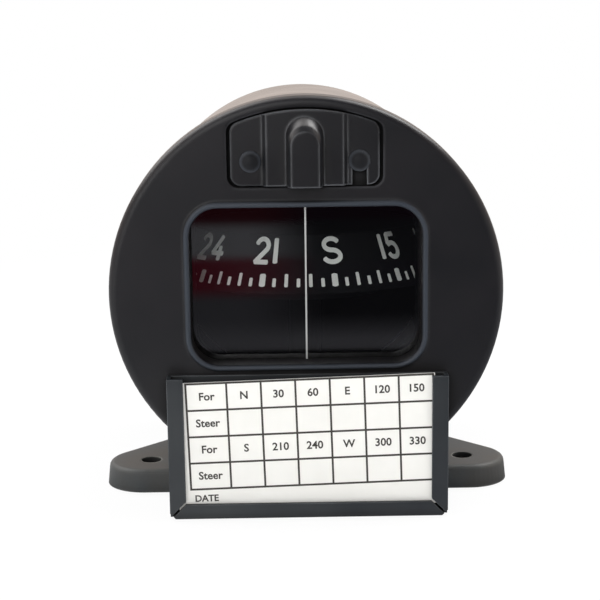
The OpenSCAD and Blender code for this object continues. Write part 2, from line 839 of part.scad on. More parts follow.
module cover_plate() color(black) head() difference() {
    union() {
        along_y(cover_front, recess_depth) arched_outline(cover_w, cover_low, cover_arch, cover_corner);
        intersection() {
            along_y(shoulder_front, recess_depth)
                arched_outline(cover_w, cover_low, cover_arch, cover_corner);
            linear_extrude(face_d) polygon([
                [-shoulder_w / 2, cover_front], [-shoulder_w / 2 + shoulder_bevel, shoulder_front],
                [shoulder_w / 2 - shoulder_bevel, shoulder_front], [shoulder_w / 2, cover_front]
            ]);
        }
        nose_form(0, nose_front, cover_front);
    }
    difference() {
        nose_form(-nose_wall, nose_front + nose_wall, recess_depth + over);
        translate([-face_d, nose_front, -face_d]) cube([2 * face_d, face_d, face_d + cover_low + nose_wall]);
    }
    bar_y(-cover_screw_x, comp_z, cover_shank + slack, -over, recess_depth + over);
    along_y(-over, recess_depth + over) {
        translate([cover_screw_x, comp_z]) circle(cover_slot_w / 2);
        translate([cover_screw_x - cover_slot_w / 2, recess_low - over])
            square([cover_slot_w, comp_z - recess_low + over]);
    }
}

module cover_screws() color(black) head() for (s = [-1, 1]) {
    domed_head(s * cover_screw_x, comp_z, cover_head_r, cover_head_h, cover_front);
    bar_y(s * cover_screw_x, comp_z, cover_shank, cover_front - fuse, cover_screw_back);
}

module compensator_frame() color(brass) head() difference() {
    intersection() {
        translate([-frame_half, frame_front, shelf_top]) difference() {
            cube([2 * frame_half, frame_len, frame_top - shelf_top]);
            translate([-over, frame_plate, frame_floor])
                cube([2 * (frame_half + over), frame_len - 2 * frame_plate, frame_top]);
        }
        bar_y(0, 0, case_r(frame_back) - case_wall - slack, case_front, pocket_back);
    }
    at_face_screws() bar_y(0, 0, boss_r + fit, case_front, face_boss_back + slack);
    translate([-frame_notch, frame_front - over, shelf_top - over])
        cube([2 * frame_notch, frame_notch_len + over, face_d]);
    for (x = [-partner_x, -adjuster_x, adjuster_x, partner_x])
        bar_y(x, comp_z, shaft_r + fit, frame_front - over, frame_back + over);
    for (s = [-1, 1])
        translate([s * frame_screw_x, frame_screw_y, shelf_top - over])
            cylinder(r = frame_screw_r + fit, h = frame_floor + 2 * over);
}

module compensator_screws() color(steel) head() for (s = [-1, 1])
    translate([s * frame_screw_x, frame_screw_y, 0]) {
        translate([0, 0, shelf_top - frame_screw_deep])
            cylinder(r = frame_screw_r, h = frame_screw_deep + frame_floor + fuse);
        translate([0, 0, shelf_top + frame_floor]) cylinder(r = frame_screw_head, h = frame_head_h);
    }

// Outline of a pinion with a tooth, or a gap, on its +x side
module pinion(turn) rotate(turn) polygon([
    for (i = [0 : gear_teeth - 1], p = tooth_corners)
        let (a = (i + p[0]) * 360 / gear_teeth)
            (gear_r + p[1]) * [cos(a), sin(a)]
]);

// A compensator shaft with its pinion and magnet hub; upright turns the magnet's hole to z
module comp_shaft(x, front, turn, upright) difference() {
    union() {
        bar_y(x, comp_z, shaft_r, front, shaft_end);
        bar_y(x, comp_z, hub_r, magnet_y - hub_len / 2, magnet_y + hub_len / 2);
        along_y(gear_front, gear_front + gear_len) translate([x, comp_z]) pinion(turn);
    }
    cross_magnet(x, upright, press_fit);
}

// A bar magnet across a compensator shaft
module cross_magnet(x, upright, margin) translate([x, magnet_y, comp_z]) rotate([0, upright ? 0 : 90, 0])
    cylinder(r = magnet_r + margin, h = magnet_len + margin, center = true);

// The slotted head of an adjuster
module adjuster_head(x) difference() {
    bar_y(x, comp_z, adjuster_head_r, adjuster_head_front, adjuster_head_front + adjuster_head_len);
    slot_y(x, comp_z, adjuster_slot, adjuster_head_front - over, adjuster_head_front + adjuster_slot_deep);
}

module adjuster(side, upright) head() mirror([side < 0 ? 1 : 0, 0, 0]) {
    comp_shaft(adjuster_x, adjuster_head_front + adjuster_head_len - fuse, 0, upright);
    adjuster_head(adjuster_x);
}

module partner(side, upright) head() mirror([side < 0 ? 1 : 0, 0, 0])
    comp_shaft(partner_x, frame_front - shaft_proud, 180 / gear_teeth, upright);

module ns_adjuster() color(brass) adjuster(-1, false);
module ns_partner() color(brass) partner(-1, false);
module ew_adjuster() color(brass) adjuster(1, true);
module ew_partner() color(brass) partner(1, true);
module ns_adjuster_magnet() color(steel) head() cross_magnet(-adjuster_x, false, 0);
module ns_partner_magnet() color(steel) head() cross_magnet(-partner_x, false, 0);
module ew_adjuster_magnet() color(steel) head() cross_magnet(adjuster_x, true, 0);
module ew_partner_magnet() color(steel) head() cross_magnet(partner_x, true, 0);

module lamp_socket() color(brass) head() difference() {
    bar_y(0, comp_z, socket_r, socket_front, socket_back);
    bar_y(0, comp_z, bulb_cap_r, socket_back - bulb_cap_len, socket_back + over);
}

module lamp_bulb() color("#e8d9b0") head() translate([0, socket_back, comp_z]) {
    bar_y(0, 0, bulb_cap_r - fit, -bulb_cap_len, fuse);
    bar_y(0, 0, bulb_r, 0, bulb_len - bulb_r);
    translate([0, bulb_len - bulb_r, 0]) sphere(bulb_r);
}

module light_filter() color("#a33a2e") head()
    translate([-filter_half + fit, filter_front + fit, shelf_top - filter_t])
        cube([2 * (filter_half - fit), filter_len - 2 * fit, filter_t]);

// Places its children on the upright axis through the pivot point
module upright() head() translate([0, card_y, 0]) children();

module jewel_post() color(brass) upright() difference() {
    union() {
        translate([0, 0, keel_top - post_spigot_len]) cylinder(r = post_spigot_r, h = post_spigot_len + fuse);
        translate([0, 0, keel_top]) cylinder(r = post_flange_r, h = post_flange_t);
        translate([0, 0, keel_top]) cylinder(r = post_r, h = post_top - keel_top);
    }
    translate([0, 0, post_bore_low]) cylinder(r = carrier_flange_r + fit, h = face_d);
}

module post_cap() color(brass) upright() translate([0, 0, post_top]) difference() {
    cylinder(r = post_r, h = cap_t);
    translate([0, 0, -over]) cylinder(r = carrier_neck_r + fit, h = cap_t + 2 * over);
}

// Points of the jewel spring's wire: a helix of rings about its own centre line
spring_ring = 6;
spring_step = 15;
spring_coil_r = carrier_flange_r - spring_wire - fuse;
spring_n = spring_turns * 360 / spring_step;
spring_points = [
    for (i = [0 : spring_n], k = [0 : spring_ring - 1])
        let (a = i * spring_step, b = k * 360 / spring_ring)
            [(spring_coil_r + spring_wire / 2 * cos(b)) * cos(a),
             (spring_coil_r + spring_wire / 2 * cos(b)) * sin(a),
             spring_wire / 2 + (spring_len - spring_wire) * i / spring_n + spring_wire / 2 * sin(b)]
];
spring_faces = concat(
    [[for (k = [0 : spring_ring - 1]) k]],
    [for (i = [0 : spring_n - 1], k = [0 : spring_ring - 1], t = [0, 1])
        let (p = i * spring_ring, q = (i + 1) * spring_ring, n = (k + 1) % spring_ring)
            t == 0 ? [p + k, q + k, q + n] : [p + k, q + n, p + n]],
    [[for (k = [spring_ring - 1 : -1 : 0]) spring_n * spring_ring + k]]
);

module jewel_spring() color(steel) upright() translate([0, 0, post_bore_low])
    polyhedron(points = spring_points, faces = spring_faces);

module jewel_carrier() color(brass) upright() difference() {
    union() {
        translate([0, 0, carrier_low]) cylinder(r = carrier_flange_r, h = carrier_flange_t);
        translate([0, 0, carrier_low])
            cylinder(r = carrier_neck_r, h = pivot_rise + jewel_rise - carrier_low);
    }
    translate([0, 0, pivot_rise - jewel_deep]) cylinder(r = jewel_r, h = face_d);
}

module jewel_cup() color("#b03a5b") upright() translate([0, 0, pivot_rise]) difference() {
    seat_r = tip_r + fit;
    cone_r = seat_r * cos(jewel_cone);
    cone_low = seat_r * sin(jewel_cone);
    cone_h = cone_low + jewel_rise + over;
    translate([0, 0, -jewel_deep]) cylinder(r = jewel_r, h = jewel_deep + jewel_rise);
    sphere(seat_r);
    translate([0, 0, -cone_low])
        cylinder(r1 = cone_r, r2 = cone_r + cone_h * tan(jewel_cone), h = cone_h);
}

module pivot_tip() color(steel) upright() translate([0, 0, pivot_rise]) sphere(tip_r);

module pivot_pin() color(steel) upright() difference() {
    pin_low = pivot_rise + tip_r * 0.6;
    pin_low_r = tip_r * 0.8;
    cone_h = (pin_r - pin_low_r) / tan(pin_slope);
    union() {
        translate([0, 0, pin_low]) cylinder(r1 = pin_low_r, r2 = pin_r, h = cone_h);
        translate([0, 0, pin_low + cone_h]) cylinder(r = pin_r, h = pin_top - pin_low - cone_h);
    }
    translate([0, 0, pivot_rise]) sphere(tip_r + press_fit);
}

module pivot_collar() color(brass) upright() difference() {
    collar_low = well_top - collar_flange_t;
    translate([0, 0, collar_low]) union() {
        cylinder(r = collar_flange_r, h = collar_flange_t);
        cylinder(r = collar_r, h = collar_top - collar_low);
    }
    translate([0, 0, pivot_rise]) cylinder(r = pin_r, h = face_d);
}

module card_float() color("#d8c9a0") upright() difference() {
    translate([0, 0, float_low]) cylinder(r = float_r, h = float_top - float_low);
    translate([0, 0, float_low]) cylinder(r1 = well_low_r, r2 = well_top_r, h = well_top - float_low);
    translate([0, 0, float_low]) cylinder(r = collar_r + fit, h = face_d);
    for (s = [-1, 1])
        translate([s * card_magnet_x, 0, card_magnet_z]) rotate([90, 0, 0])
            cylinder(r = card_magnet_r + press_fit, h = 3 * float_r, center = true);
}

module compass_card() color(black) upright() translate([0, 0, float_top]) {
    skin = card_sheet / cos(card_slope);
    rotate_extrude() polygon([
        [card_hub_r, 0], [card_top_r - skin, 0],
        [card_r - skin, card_sheet - card_h], [card_r, card_sheet - card_h],
        [card_top_r, card_sheet], [card_hub_r, card_sheet]
    ]);
}

module card_magnets() color(steel) upright() for (s = [-1, 1])
    translate([s * card_magnet_x, 0, card_magnet_z]) rotate([90, 0, 0])
        cylinder(r = card_magnet_r, h = card_magnet_len, center = true);

front_face();
face_gasket();
face_screws();
window_glass();
lubber_line();
glass_gasket();
glass_clamp();
clamp_screws();
case_shell();
expansion_diaphragm();
rear_cover();
rear_cover_screws();
filler_plug();
filler_seal();
lead_grommet();
mount_base();
base_screws();
card_holder();
holder_screws();
correction_card();
cover_plate();
cover_screws();
compensator_frame();
compensator_screws();
ns_adjuster();
ns_adjuster_magnet();
ns_partner();
ns_partner_magnet();
ew_adjuster();
ew_adjuster_magnet();
ew_partner();
ew_partner_magnet();
lamp_socket();
lamp_bulb();
light_filter();
jewel_post();
post_cap();
jewel_spring();
jewel_carrier();
jewel_cup();
pivot_tip();
pivot_pin();
pivot_collar();
card_float();
compass_card();
card_magnets();
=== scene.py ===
"""Looks for an aircraft magnetic compass: finishes, dial paint, card print, light and camera.

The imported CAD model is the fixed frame. Sizes are millimetres and turn to metres where a mesh is made.
"""

import json
import logging
import math
from dataclasses import dataclass
from enum import Enum
from typing import Any

import bmesh
import bpy
from mathutils import Matrix, Vector

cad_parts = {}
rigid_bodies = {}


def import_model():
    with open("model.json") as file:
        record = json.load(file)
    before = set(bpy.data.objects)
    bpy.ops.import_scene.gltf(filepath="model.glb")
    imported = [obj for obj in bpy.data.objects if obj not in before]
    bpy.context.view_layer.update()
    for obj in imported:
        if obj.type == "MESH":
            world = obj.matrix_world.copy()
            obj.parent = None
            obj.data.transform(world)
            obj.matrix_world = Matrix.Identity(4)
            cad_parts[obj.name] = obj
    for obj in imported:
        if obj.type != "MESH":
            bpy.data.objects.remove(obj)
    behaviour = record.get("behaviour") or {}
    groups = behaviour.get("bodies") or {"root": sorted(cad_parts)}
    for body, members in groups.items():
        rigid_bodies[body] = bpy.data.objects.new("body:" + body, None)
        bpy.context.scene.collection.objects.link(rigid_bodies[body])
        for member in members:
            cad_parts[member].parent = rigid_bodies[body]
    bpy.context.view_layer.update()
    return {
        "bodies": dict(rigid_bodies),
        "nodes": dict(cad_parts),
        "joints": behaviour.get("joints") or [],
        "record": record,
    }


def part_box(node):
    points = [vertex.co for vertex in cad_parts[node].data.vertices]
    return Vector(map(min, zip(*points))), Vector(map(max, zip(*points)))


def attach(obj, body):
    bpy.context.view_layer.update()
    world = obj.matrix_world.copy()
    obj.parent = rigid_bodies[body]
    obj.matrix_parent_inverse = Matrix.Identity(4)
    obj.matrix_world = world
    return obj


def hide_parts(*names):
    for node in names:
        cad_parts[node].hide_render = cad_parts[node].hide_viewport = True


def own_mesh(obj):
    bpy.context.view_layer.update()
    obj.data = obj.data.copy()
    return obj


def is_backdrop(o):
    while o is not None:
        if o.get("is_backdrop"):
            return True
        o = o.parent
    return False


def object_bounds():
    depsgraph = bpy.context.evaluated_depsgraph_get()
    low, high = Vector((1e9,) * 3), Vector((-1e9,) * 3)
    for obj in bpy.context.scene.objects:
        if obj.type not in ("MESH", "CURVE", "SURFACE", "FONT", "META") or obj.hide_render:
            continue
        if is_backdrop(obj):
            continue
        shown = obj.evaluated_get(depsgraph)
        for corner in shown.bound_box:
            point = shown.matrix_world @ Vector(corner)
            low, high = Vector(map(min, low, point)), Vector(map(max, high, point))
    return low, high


LOG = logging.getLogger("compass")
MM = 0.001
# Points of a mesh that lie closer than this, in metres, become one
WELD = 1e-7

Point = tuple[float, float]
Range = tuple[float, float]
Triple = tuple[float, float, float]
Face = tuple[int, ...]
Solid = tuple[list[Triple], list[Face]]

# Sockets of the Mix node, which keeps separate ones for values and colours
FACTOR = 0
VALUE_A, VALUE_B = 2, 3
COLOUR_A, COLOUR_B = 6, 7
MIXED_VALUE, MIXED_COLOUR = 0, 2

# Detail of the noise in fine surfaces and in broad clouds of colour
FINE_DETAIL = 3.0
CLOUD_DETAIL = 4.0
# The index of paint, rubber, plastic and ink
COATING_IOR = 1.5
# The wave texture repeats each time its scaled coordinate grows by this much
WAVE_STEP = 2 * math.pi / 20
WHITE = "#ffffff"


class Body(Enum):
    """The bodies that new pieces ride on."""

    CASE = "case"
    CARD = "card"
    PAPER = "paper_card"


def linear(colour: str, alpha: float = 1.0) -> tuple[float, float, float, float]:
    """Turns an sRGB hex colour into linear light.

    Args:
        colour: The colour as #rrggbb.
        alpha: The fourth value.

    Returns:
        Linear red, green, blue and alpha.
    """
    parts = [int(colour[i:i + 2], 16) / 255 for i in (1, 3, 5)]
    light = [c / 12.92 if c <= 0.04045 else ((c + 0.055) / 1.055) ** 2.4 for c in parts]
    return light[0], light[1], light[2], alpha


def per_metre(size_mm: float) -> float:
    """Gives the texture scale that repeats about once in a size in millimetres."""
    return 1 / (size_mm * MM)


def add_node(tree: bpy.types.NodeTree, kind: str, values: dict[Any, Any] | None = None,
             links: dict[Any, bpy.types.NodeSocket] | None = None, **settings: Any) -> bpy.types.Node:
    """Adds a node with its settings, socket values and incoming links.

    Args:
        tree: The node tree that gets the node.
        kind: The node's type name.
        values: Input names or numbers, and the values set on them.
        links: Input names or numbers, and the output sockets linked to them.
        settings: Attributes of the node itself.

    Returns:
        The new node.
    """
    node = tree.nodes.new(kind)
    for name, value in settings.items():
        setattr(node, name, value)
    for key, value in (values or {}).items():
        node.inputs[key].default_value = value
    for key, socket in (links or {}).items():
        tree.links.new(socket, node.inputs[key])
    return node


def blank_material(name: str) -> tuple[bpy.types.Material, bpy.types.NodeTree]:
    """Makes a material with an empty node tree.

    Args:
        name: The material's name.

    Returns:
        The material and its node tree.
    """
    material = bpy.data.materials.new(name)
    material.use_nodes = True
    material.node_tree.nodes.clear()
    return material, material.node_tree


@dataclass(frozen=True)
class Enamel:
    """Baked enamel on cast or bent metal.

    It has a soft sheen and a fine pebble. Edges are paler, partly with wear and partly as a painted highlight.
    Ambient occlusion paints shade into corners and recesses, dark and dull. Where a colour for what stands
    proud towards the front is given, that part takes it as painted light.
    """

    name: str
    colour: str
    mottle: str
    # The colour of pale edges: partly wear, partly painted highlight
    wear_and_highlight: str
    roughness: float
    # The pebble of sprayed enamel is about 0.2 mm across and is drawn coarser so that it shows
    pebble_mm: float = 0.35
    pebble_depth: float = 0.12
    pebble_rise: float = 0.05
    cloud_mm: float = 14.0
    edge_mm: float = 0.35
    specular: float = 0.4
    wear_and_highlight_share: float = 0.6
    # Painted shade in corners and recesses, and how far ambient occlusion looks for them
    painted_shade: str = "#060607"
    corner_mm: float = 3.5
    # Painted light on what stands proud towards the front, and the depths between which it grows
    crest_painted_light: str = ""
    crest_light_from: float = 0.0
    crest_light_to: float = 0.0
    # Cosine between the rounded and the flat normal, from whole paint to a pale edge of wear and painted
    # highlight
    edge_cosine: Range = (0.98, 0.75)
    # Cloud values between which the pale edge grows from its least share to all of it
    patch: Range = (0.4, 0.62)
    least_patch: float = 0.15
    # Cloud values between which the paint goes from its colour to its mottle
    blotch: Range = (0.35, 0.65)
    # Openness between which painted shade gives way to unshaded paint, the least share of unshaded paint, and
    # the roughness where the shade is painted
    openness: Range = (0.3, 0.85)
    least_unshaded: float = 0.04
    corner_roughness: float = 0.95
    # How far the sheen strays from the roughness
    sheen: Range = (-0.05, 0.07)
    edge_samples: int = 6
    corner_samples: int = 8

    def material(self) -> bpy.types.Material:
        """Builds the finish.

        Returns:
            The material.
        """
        material, tree = blank_material(self.name)
        place = add_node(tree, "ShaderNodeTexCoord").outputs["Object"]
        pebble = add_node(tree, "ShaderNodeTexNoise",
                          {"Scale": per_metre(self.pebble_mm), "Detail": FINE_DETAIL}, {"Vector": place})
        cloud = add_node(tree, "ShaderNodeTexNoise",
                         {"Scale": per_metre(self.cloud_mm), "Detail": CLOUD_DETAIL}, {"Vector": place})
        edge = add_node(tree, "ShaderNodeBevel", {"Radius": self.edge_mm * MM}, samples=self.edge_samples)
        flat = add_node(tree, "ShaderNodeNewGeometry")
        turn = add_node(tree, "ShaderNodeVectorMath",
                        links={0: edge.outputs["Normal"], 1: flat.outputs["Normal"]}, operation="DOT_PRODUCT")
        # Pale edges, partly wear and partly painted highlight, found where the rounded normal turns from the
        # flat one
        pale_edge = add_node(tree, "ShaderNodeMapRange",
                        {"From Min": self.edge_cosine[0], "From Max": self.edge_cosine[1], "To Max": self.wear_and_highlight_share},
                        {"Value": turn.outputs["Value"]})
        patch = add_node(tree, "ShaderNodeMapRange",
                         {"From Min": self.patch[0], "From Max": self.patch[1], "To Min": self.least_patch},
                         {"Value": cloud.outputs["Fac"]})
        share = add_node(tree, "ShaderNodeMath",
                         links={0: pale_edge.outputs["Result"], 1: patch.outputs["Result"]}, operation="MULTIPLY")
        blotch = add_node(tree, "ShaderNodeMapRange",
                          {"From Min": self.blotch[0], "From Max": self.blotch[1]},
                          {"Value": cloud.outputs["Fac"]})
        coat = add_node(tree, "ShaderNodeMix",
                        {COLOUR_A: linear(self.colour), COLOUR_B: linear(self.mottle)},
                        {FACTOR: blotch.outputs["Result"]}, data_type="RGBA")
        tint = add_node(tree, "ShaderNodeMix", {COLOUR_B: linear(self.wear_and_highlight)},
                        {FACTOR: share.outputs["Value"], COLOUR_A: coat.outputs[MIXED_COLOUR]},
                        data_type="RGBA")
        # Painted light: a paler or darker colour on what stands proud towards the front
        if self.crest_painted_light:
            depth = add_node(tree, "ShaderNodeSeparateXYZ", links={0: place})
            proud = add_node(tree, "ShaderNodeMapRange",
                             {"From Min": self.crest_light_from * MM, "From Max": self.crest_light_to * MM},
                             {"Value": depth.outputs["Y"]})
            tint = add_node(tree, "ShaderNodeMix", {COLOUR_B: linear(self.crest_painted_light)},
                            {FACTOR: proud.outputs["Result"], COLOUR_A: tint.outputs[MIXED_COLOUR]},
                            data_type="RGBA")
        # Painted shade: ambient occlusion darkens corners and recesses and dulls them
        corner = add_node(tree, "ShaderNodeAmbientOcclusion", {"Distance": self.corner_mm * MM},
                          samples=self.corner_samples)
        unshaded = add_node(tree, "ShaderNodeMapRange",
                         {"From Min": self.openness[0], "From Max": self.openness[1],
                          "To Min": self.least_unshaded},
                         {"Value": corner.outputs["AO"]})
        shaded = add_node(tree, "ShaderNodeMix", {COLOUR_A: linear(self.painted_shade)},
                         {FACTOR: unshaded.outputs["Result"], COLOUR_B: tint.outputs[MIXED_COLOUR]},
                         data_type="RGBA")
        sheen = add_node(tree, "ShaderNodeMapRange",
                         {"To Min": self.roughness + self.sheen[0], "To Max": self.roughness + self.sheen[1]},
                         {"Value": cloud.outputs["Fac"]})
        dull = add_node(tree, "ShaderNodeMix", {VALUE_A: self.corner_roughness},
                        {FACTOR: unshaded.outputs["Result"], VALUE_B: sheen.outputs["Result"]})
        bump = add_node(tree, "ShaderNodeBump",
                        {"Strength": self.pebble_depth, "Distance": self.pebble_rise * MM},
                        {"Height": pebble.outputs["Fac"], "Normal": edge.outputs["Normal"]})
        paint = add_node(tree, "ShaderNodeBsdfPrincipled",
                         {"IOR": COATING_IOR, "Specular IOR Level": self.specular},
                         {"Base Color": shaded.outputs[MIXED_COLOUR], "Roughness": dull.outputs[MIXED_VALUE],
                          "Normal": bump.outputs["Normal"]})
        add_node(tree, "ShaderNodeOutputMaterial", links={"Surface": paint.outputs["BSDF"]})
        return material


@dataclass(frozen=True)
class Speckled:
    """A dull, even material such as rubber, paint, moulded plastic or paper, with a faint mottle and tooth."""

    name: str
    colour: str
    mottle: str
    roughness: float
    # The real tooth is finer than 0.1 mm and is drawn coarser so that it shows
    tooth_mm: float
    tooth_depth: float = 0.1
    tooth_rise: float = 0.03
    mottle_mm: float = 4.0
    specular: float = 0.4

    def material(self) -> bpy.types.Material:
        """Builds the finish.

        Returns:
            The material.
        """
        material, tree = blank_material(self.name)
        place = add_node(tree, "ShaderNodeTexCoord").outputs["Object"]
        tooth = add_node(tree, "ShaderNodeTexNoise",
                         {"Scale": per_metre(self.tooth_mm), "Detail": FINE_DETAIL}, {"Vector": place})
        cloud = add_node(tree, "ShaderNodeTexNoise",
                         {"Scale": per_metre(self.mottle_mm), "Detail": CLOUD_DETAIL}, {"Vector": place})
        tint = add_node(tree, "ShaderNodeMix",
                        {COLOUR_A: linear(self.colour), COLOUR_B: linear(self.mottle)},
                        {FACTOR: cloud.outputs["Fac"]}, data_type="RGBA")
        bump = add_node(tree, "ShaderNodeBump",
                        {"Strength": self.tooth_depth, "Distance": self.tooth_rise * MM},
                        {"Height": tooth.outputs["Fac"]})
        dull = add_node(tree, "ShaderNodeBsdfPrincipled",
                        {"Roughness": self.roughness, "IOR": COATING_IOR, "Specular IOR Level": self.specular},
                        {"Base Color": tint.outputs[MIXED_COLOUR], "Normal": bump.outputs["Normal"]})
        add_node(tree, "ShaderNodeOutputMaterial", links={"Surface": dull.outputs["BSDF"]})
        return material


@dataclass(frozen=True)
class TurnedMetal:
    """Turned or ground metal: bright, with fine tool lines across it and slight tarnish."""

    name: str
    colour: str
    tarnish: str
    roughness: float
    # Tool lines are about 0.1 mm apart and are drawn coarser so that they show
    line_mm: float = 1.57
    line_depth: float = 0.08
    line_rise: float = 0.02
    line_waver: float = 1.5
    line_detail: float = 2.0
    tarnish_mm: float = 5.0
    # How far the gloss strays from the roughness
    gloss: Range = (-0.06, 0.1)

    def material(self) -> bpy.types.Material:
        """Builds the finish.

        Returns:
            The material.
        """
        material, tree = blank_material(self.name)
        place = add_node(tree, "ShaderNodeTexCoord").outputs["Object"]
        lines = add_node(tree, "ShaderNodeTexWave",
                         {"Scale": per_metre(self.line_mm) * WAVE_STEP, "Distortion": self.line_waver,
                          "Detail": self.line_detail},
                         {"Vector": place}, bands_direction="Y")
        cloud = add_node(tree, "ShaderNodeTexNoise",
                         {"Scale": per_metre(self.tarnish_mm), "Detail": CLOUD_DETAIL}, {"Vector": place})
        tint = add_node(tree, "ShaderNodeMix",
                        {COLOUR_A: linear(self.colour), COLOUR_B: linear(self.tarnish)},
                        {FACTOR: cloud.outputs["Fac"]}, data_type="RGBA")
        gloss = add_node(tree, "ShaderNodeMapRange",
                         {"To Min": self.roughness + self.gloss[0], "To Max": self.roughness + self.gloss[1]},
                         {"Value": cloud.outputs["Fac"]})
        bump = add_node(tree, "ShaderNodeBump",
                        {"Strength": self.line_depth, "Distance": self.line_rise * MM},
                        {"Height": lines.outputs["Fac"]})
        metal = add_node(tree, "ShaderNodeBsdfPrincipled", {"Metallic": 1.0},
                         {"Base Color": tint.outputs[MIXED_COLOUR], "Roughness": gloss.outputs["Result"],
                          "Normal": bump.outputs["Normal"]})
        add_node(tree, "ShaderNodeOutputMaterial", links={"Surface": metal.outputs["BSDF"]})
        return material


@dataclass(frozen=True)
class ClearGlass:
    """Polished glass or clear plastic: it shows what lies behind, with a mirror-like skin and faint smears.

    Where a depth is given, the faces behind it are wetted by a fluid: they neither mirror nor bend light.
    """

    name: str
    colour: str
    ior: float
    roughness: float = 0.02
    coat: float = 0.0
    coat_ior: float = 1.5
    wet_from: float | None = None
    smear_mm: float = 9.0
    smear_detail: float = 5.0
    smear: float = 0.04

    def material(self) -> bpy.types.Material:
        """Builds the finish. Light for shadows passes straight through, so that what lies behind is lit.

        Returns:
            The material.
        """
        material, tree = blank_material(self.name)
        place = add_node(tree, "ShaderNodeTexCoord").outputs["Object"]
        smear = add_node(tree, "ShaderNodeTexNoise",
                         {"Scale": per_metre(self.smear_mm), "Detail": self.smear_detail}, {"Vector": place})
        gloss = add_node(tree, "ShaderNodeMapRange",
                         {"To Min": self.roughness, "To Max": self.roughness + self.smear},
                         {"Value": smear.outputs["Fac"]})
        glass = add_node(tree, "ShaderNodeBsdfPrincipled",
                         {"Base Color": linear(self.colour), "IOR": self.ior, "Transmission Weight": 1.0,
                          "Coat Weight": self.coat, "Coat IOR": self.coat_ior},
                         {"Roughness": gloss.outputs["Result"]})
        through = add_node(tree, "ShaderNodeLightPath").outputs["Is Shadow Ray"]
        if self.wet_from is not None:
            depth = add_node(tree, "ShaderNodeSeparateXYZ", links={0: place})
            wet = add_node(tree, "ShaderNodeMath", {1: self.wet_from * MM}, {0: depth.outputs["Y"]},
                           operation="GREATER_THAN")
            through = add_node(tree, "ShaderNodeMath", links={0: through, 1: wet.outputs["Value"]},
                               operation="MAXIMUM").outputs["Value"]
        clear = add_node(tree, "ShaderNodeBsdfTransparent", {"Color": linear(self.colour)})
        mixed = add_node(tree, "ShaderNodeMixShader",
                         links={0: through, 1: glass.outputs["BSDF"], 2: clear.outputs["BSDF"]})
        add_node(tree, "ShaderNodeOutputMaterial", links={"Surface": mixed.outputs["Shader"]})
        return material


Finish = Enamel | Speckled | TurnedMetal | ClearGlass

# Where the face's front and the crest of the window's bead lie along the case
FACE_Y = -21.75
BEAD_Y = -22.45
# Where the painted highlight round the rims of the cover's screws starts to give way, and where their darker
# crowns start
HEAD_Y = -21.8
CROWN_Y = -22.3
# The middle of the window's thickness, and the index of the clear spirit that fills the bowl
GLASS_Y = -15.8
FLUID_IOR = 1.42

# Each finish starts from the real one. The slots are those of the record
FINISHES: dict[str, Finish] = {
    # Sprayed enamel on a casting, baked: near black with a soft sheen. The window's bead takes a paler painted
    # highlight, the edges are paler with wear and painted highlight, and the window's recess gets painted
    # shade
    "face_enamel": Enamel("baked_enamel_face", "#111217", "#151419", "#5c5e64", 0.35, edge_mm=0.9, wear_and_highlight_share=0.45,
                          corner_mm=7, crest_painted_light="#343b45", crest_light_from=FACE_Y, crest_light_to=BEAD_Y),
    # The same on the turned case: glossier, so that it mirrors the white room along its length
    "case_enamel": Enamel("baked_enamel_case", "#1a1a1c", "#1e1d1e", "#39393b", 0.2, specular=0.5, wear_and_highlight_share=0.3),
    # Matt enamel, thinner and greyer where fingers and screws have rubbed it, with a painted highlight along
    # its edges and painted shade in its holes
    "base_enamel": Enamel("matt_enamel_base", "#333c41", "#3c3c3a", "#94968f", 0.54, pebble_mm=0.7,
                          pebble_depth=0.4, edge_mm=0.7, specular=0.55, wear_and_highlight_share=0.9, corner_mm=9),
    # Enamel on bent sheet: smoother than on the castings, with a blue cast
    "holder_enamel": Enamel("enamelled_sheet", "#1b2127", "#262b2f", "#8a9096", 0.34, pebble_depth=0.06,
                            specular=0.56),
    # Enamel on a stamping: the glossiest of them in front, with a pale line along its raised edges that is
    # partly rubbed wear and partly painted highlight
    "cover_enamel": Enamel("enamelled_stamping", "#121317", "#15161a", "#8b8e94", 0.28, edge_mm=0.8,
                           specular=0.47, wear_and_highlight_share=0.7),
    # Matt black paint under the dial's marks
    "card_enamel": Speckled("matt_dial_black", "#08080a", "#101012", 0.8, 0.3, specular=0.15),
    # Brushed white paint, a little uneven
    "white_paint": Speckled("dial_white_paint", "#fdfdf9", "#f2f2ee", 0.6, 0.25),
    # Moulded rubber: dull and almost black
    "rubber_seal": Speckled("moulded_rubber", "#111113", "#18181a", 0.85, 0.2),
    # Its front bends light as the fluid behind it does, and a coat stands for the mirror of its second face
    "window_glass": ClearGlass("float_glass", "#fcfefe", FLUID_IOR, coat=1.0, coat_ior=1.6, wet_from=GLASS_Y),
    # Blown glass with a warm cast
    "bulb_glass": ClearGlass("bulb_glass", "#fff3dd", 1.5),
    # Polished synthetic ruby: clear and deep pink
    "jewel": ClearGlass("ruby_jewel", "#c23a63", 1.77),
    # Clear red plastic, which turns the lamp's light red
    "red_filter": ClearGlass("red_filter_plastic", "#c0342a", 1.49),
    # Black plastic, so that nothing under the dial draws the eye
    "float_plastic": Speckled("black_float_plastic", "#0b0b0d", "#101012", 0.7, 0.4, specular=0.15),
    # Plated steel: bright and slightly cold
    "steel": TurnedMetal("plated_steel", "#b9bbbf", "#9c9ea2", 0.34),
    # Bare ground steel: darker and duller than plate
    "magnet_steel": TurnedMetal("ground_magnet_steel", "#86888c", "#737579", 0.42),
    # Turned brass: yellow, browned by tarnish
    "brass": TurnedMetal("turned_brass", "#c9a35a", "#a98545", 0.32),
    # Uncoated paper: white, with a faint fibre tooth
    "paper": Speckled("uncoated_paper", "#f6f5f1", "#ecebe6", 0.9, 0.3, tooth_depth=0.15, mottle_mm=7.0,
                      specular=0.2),
}
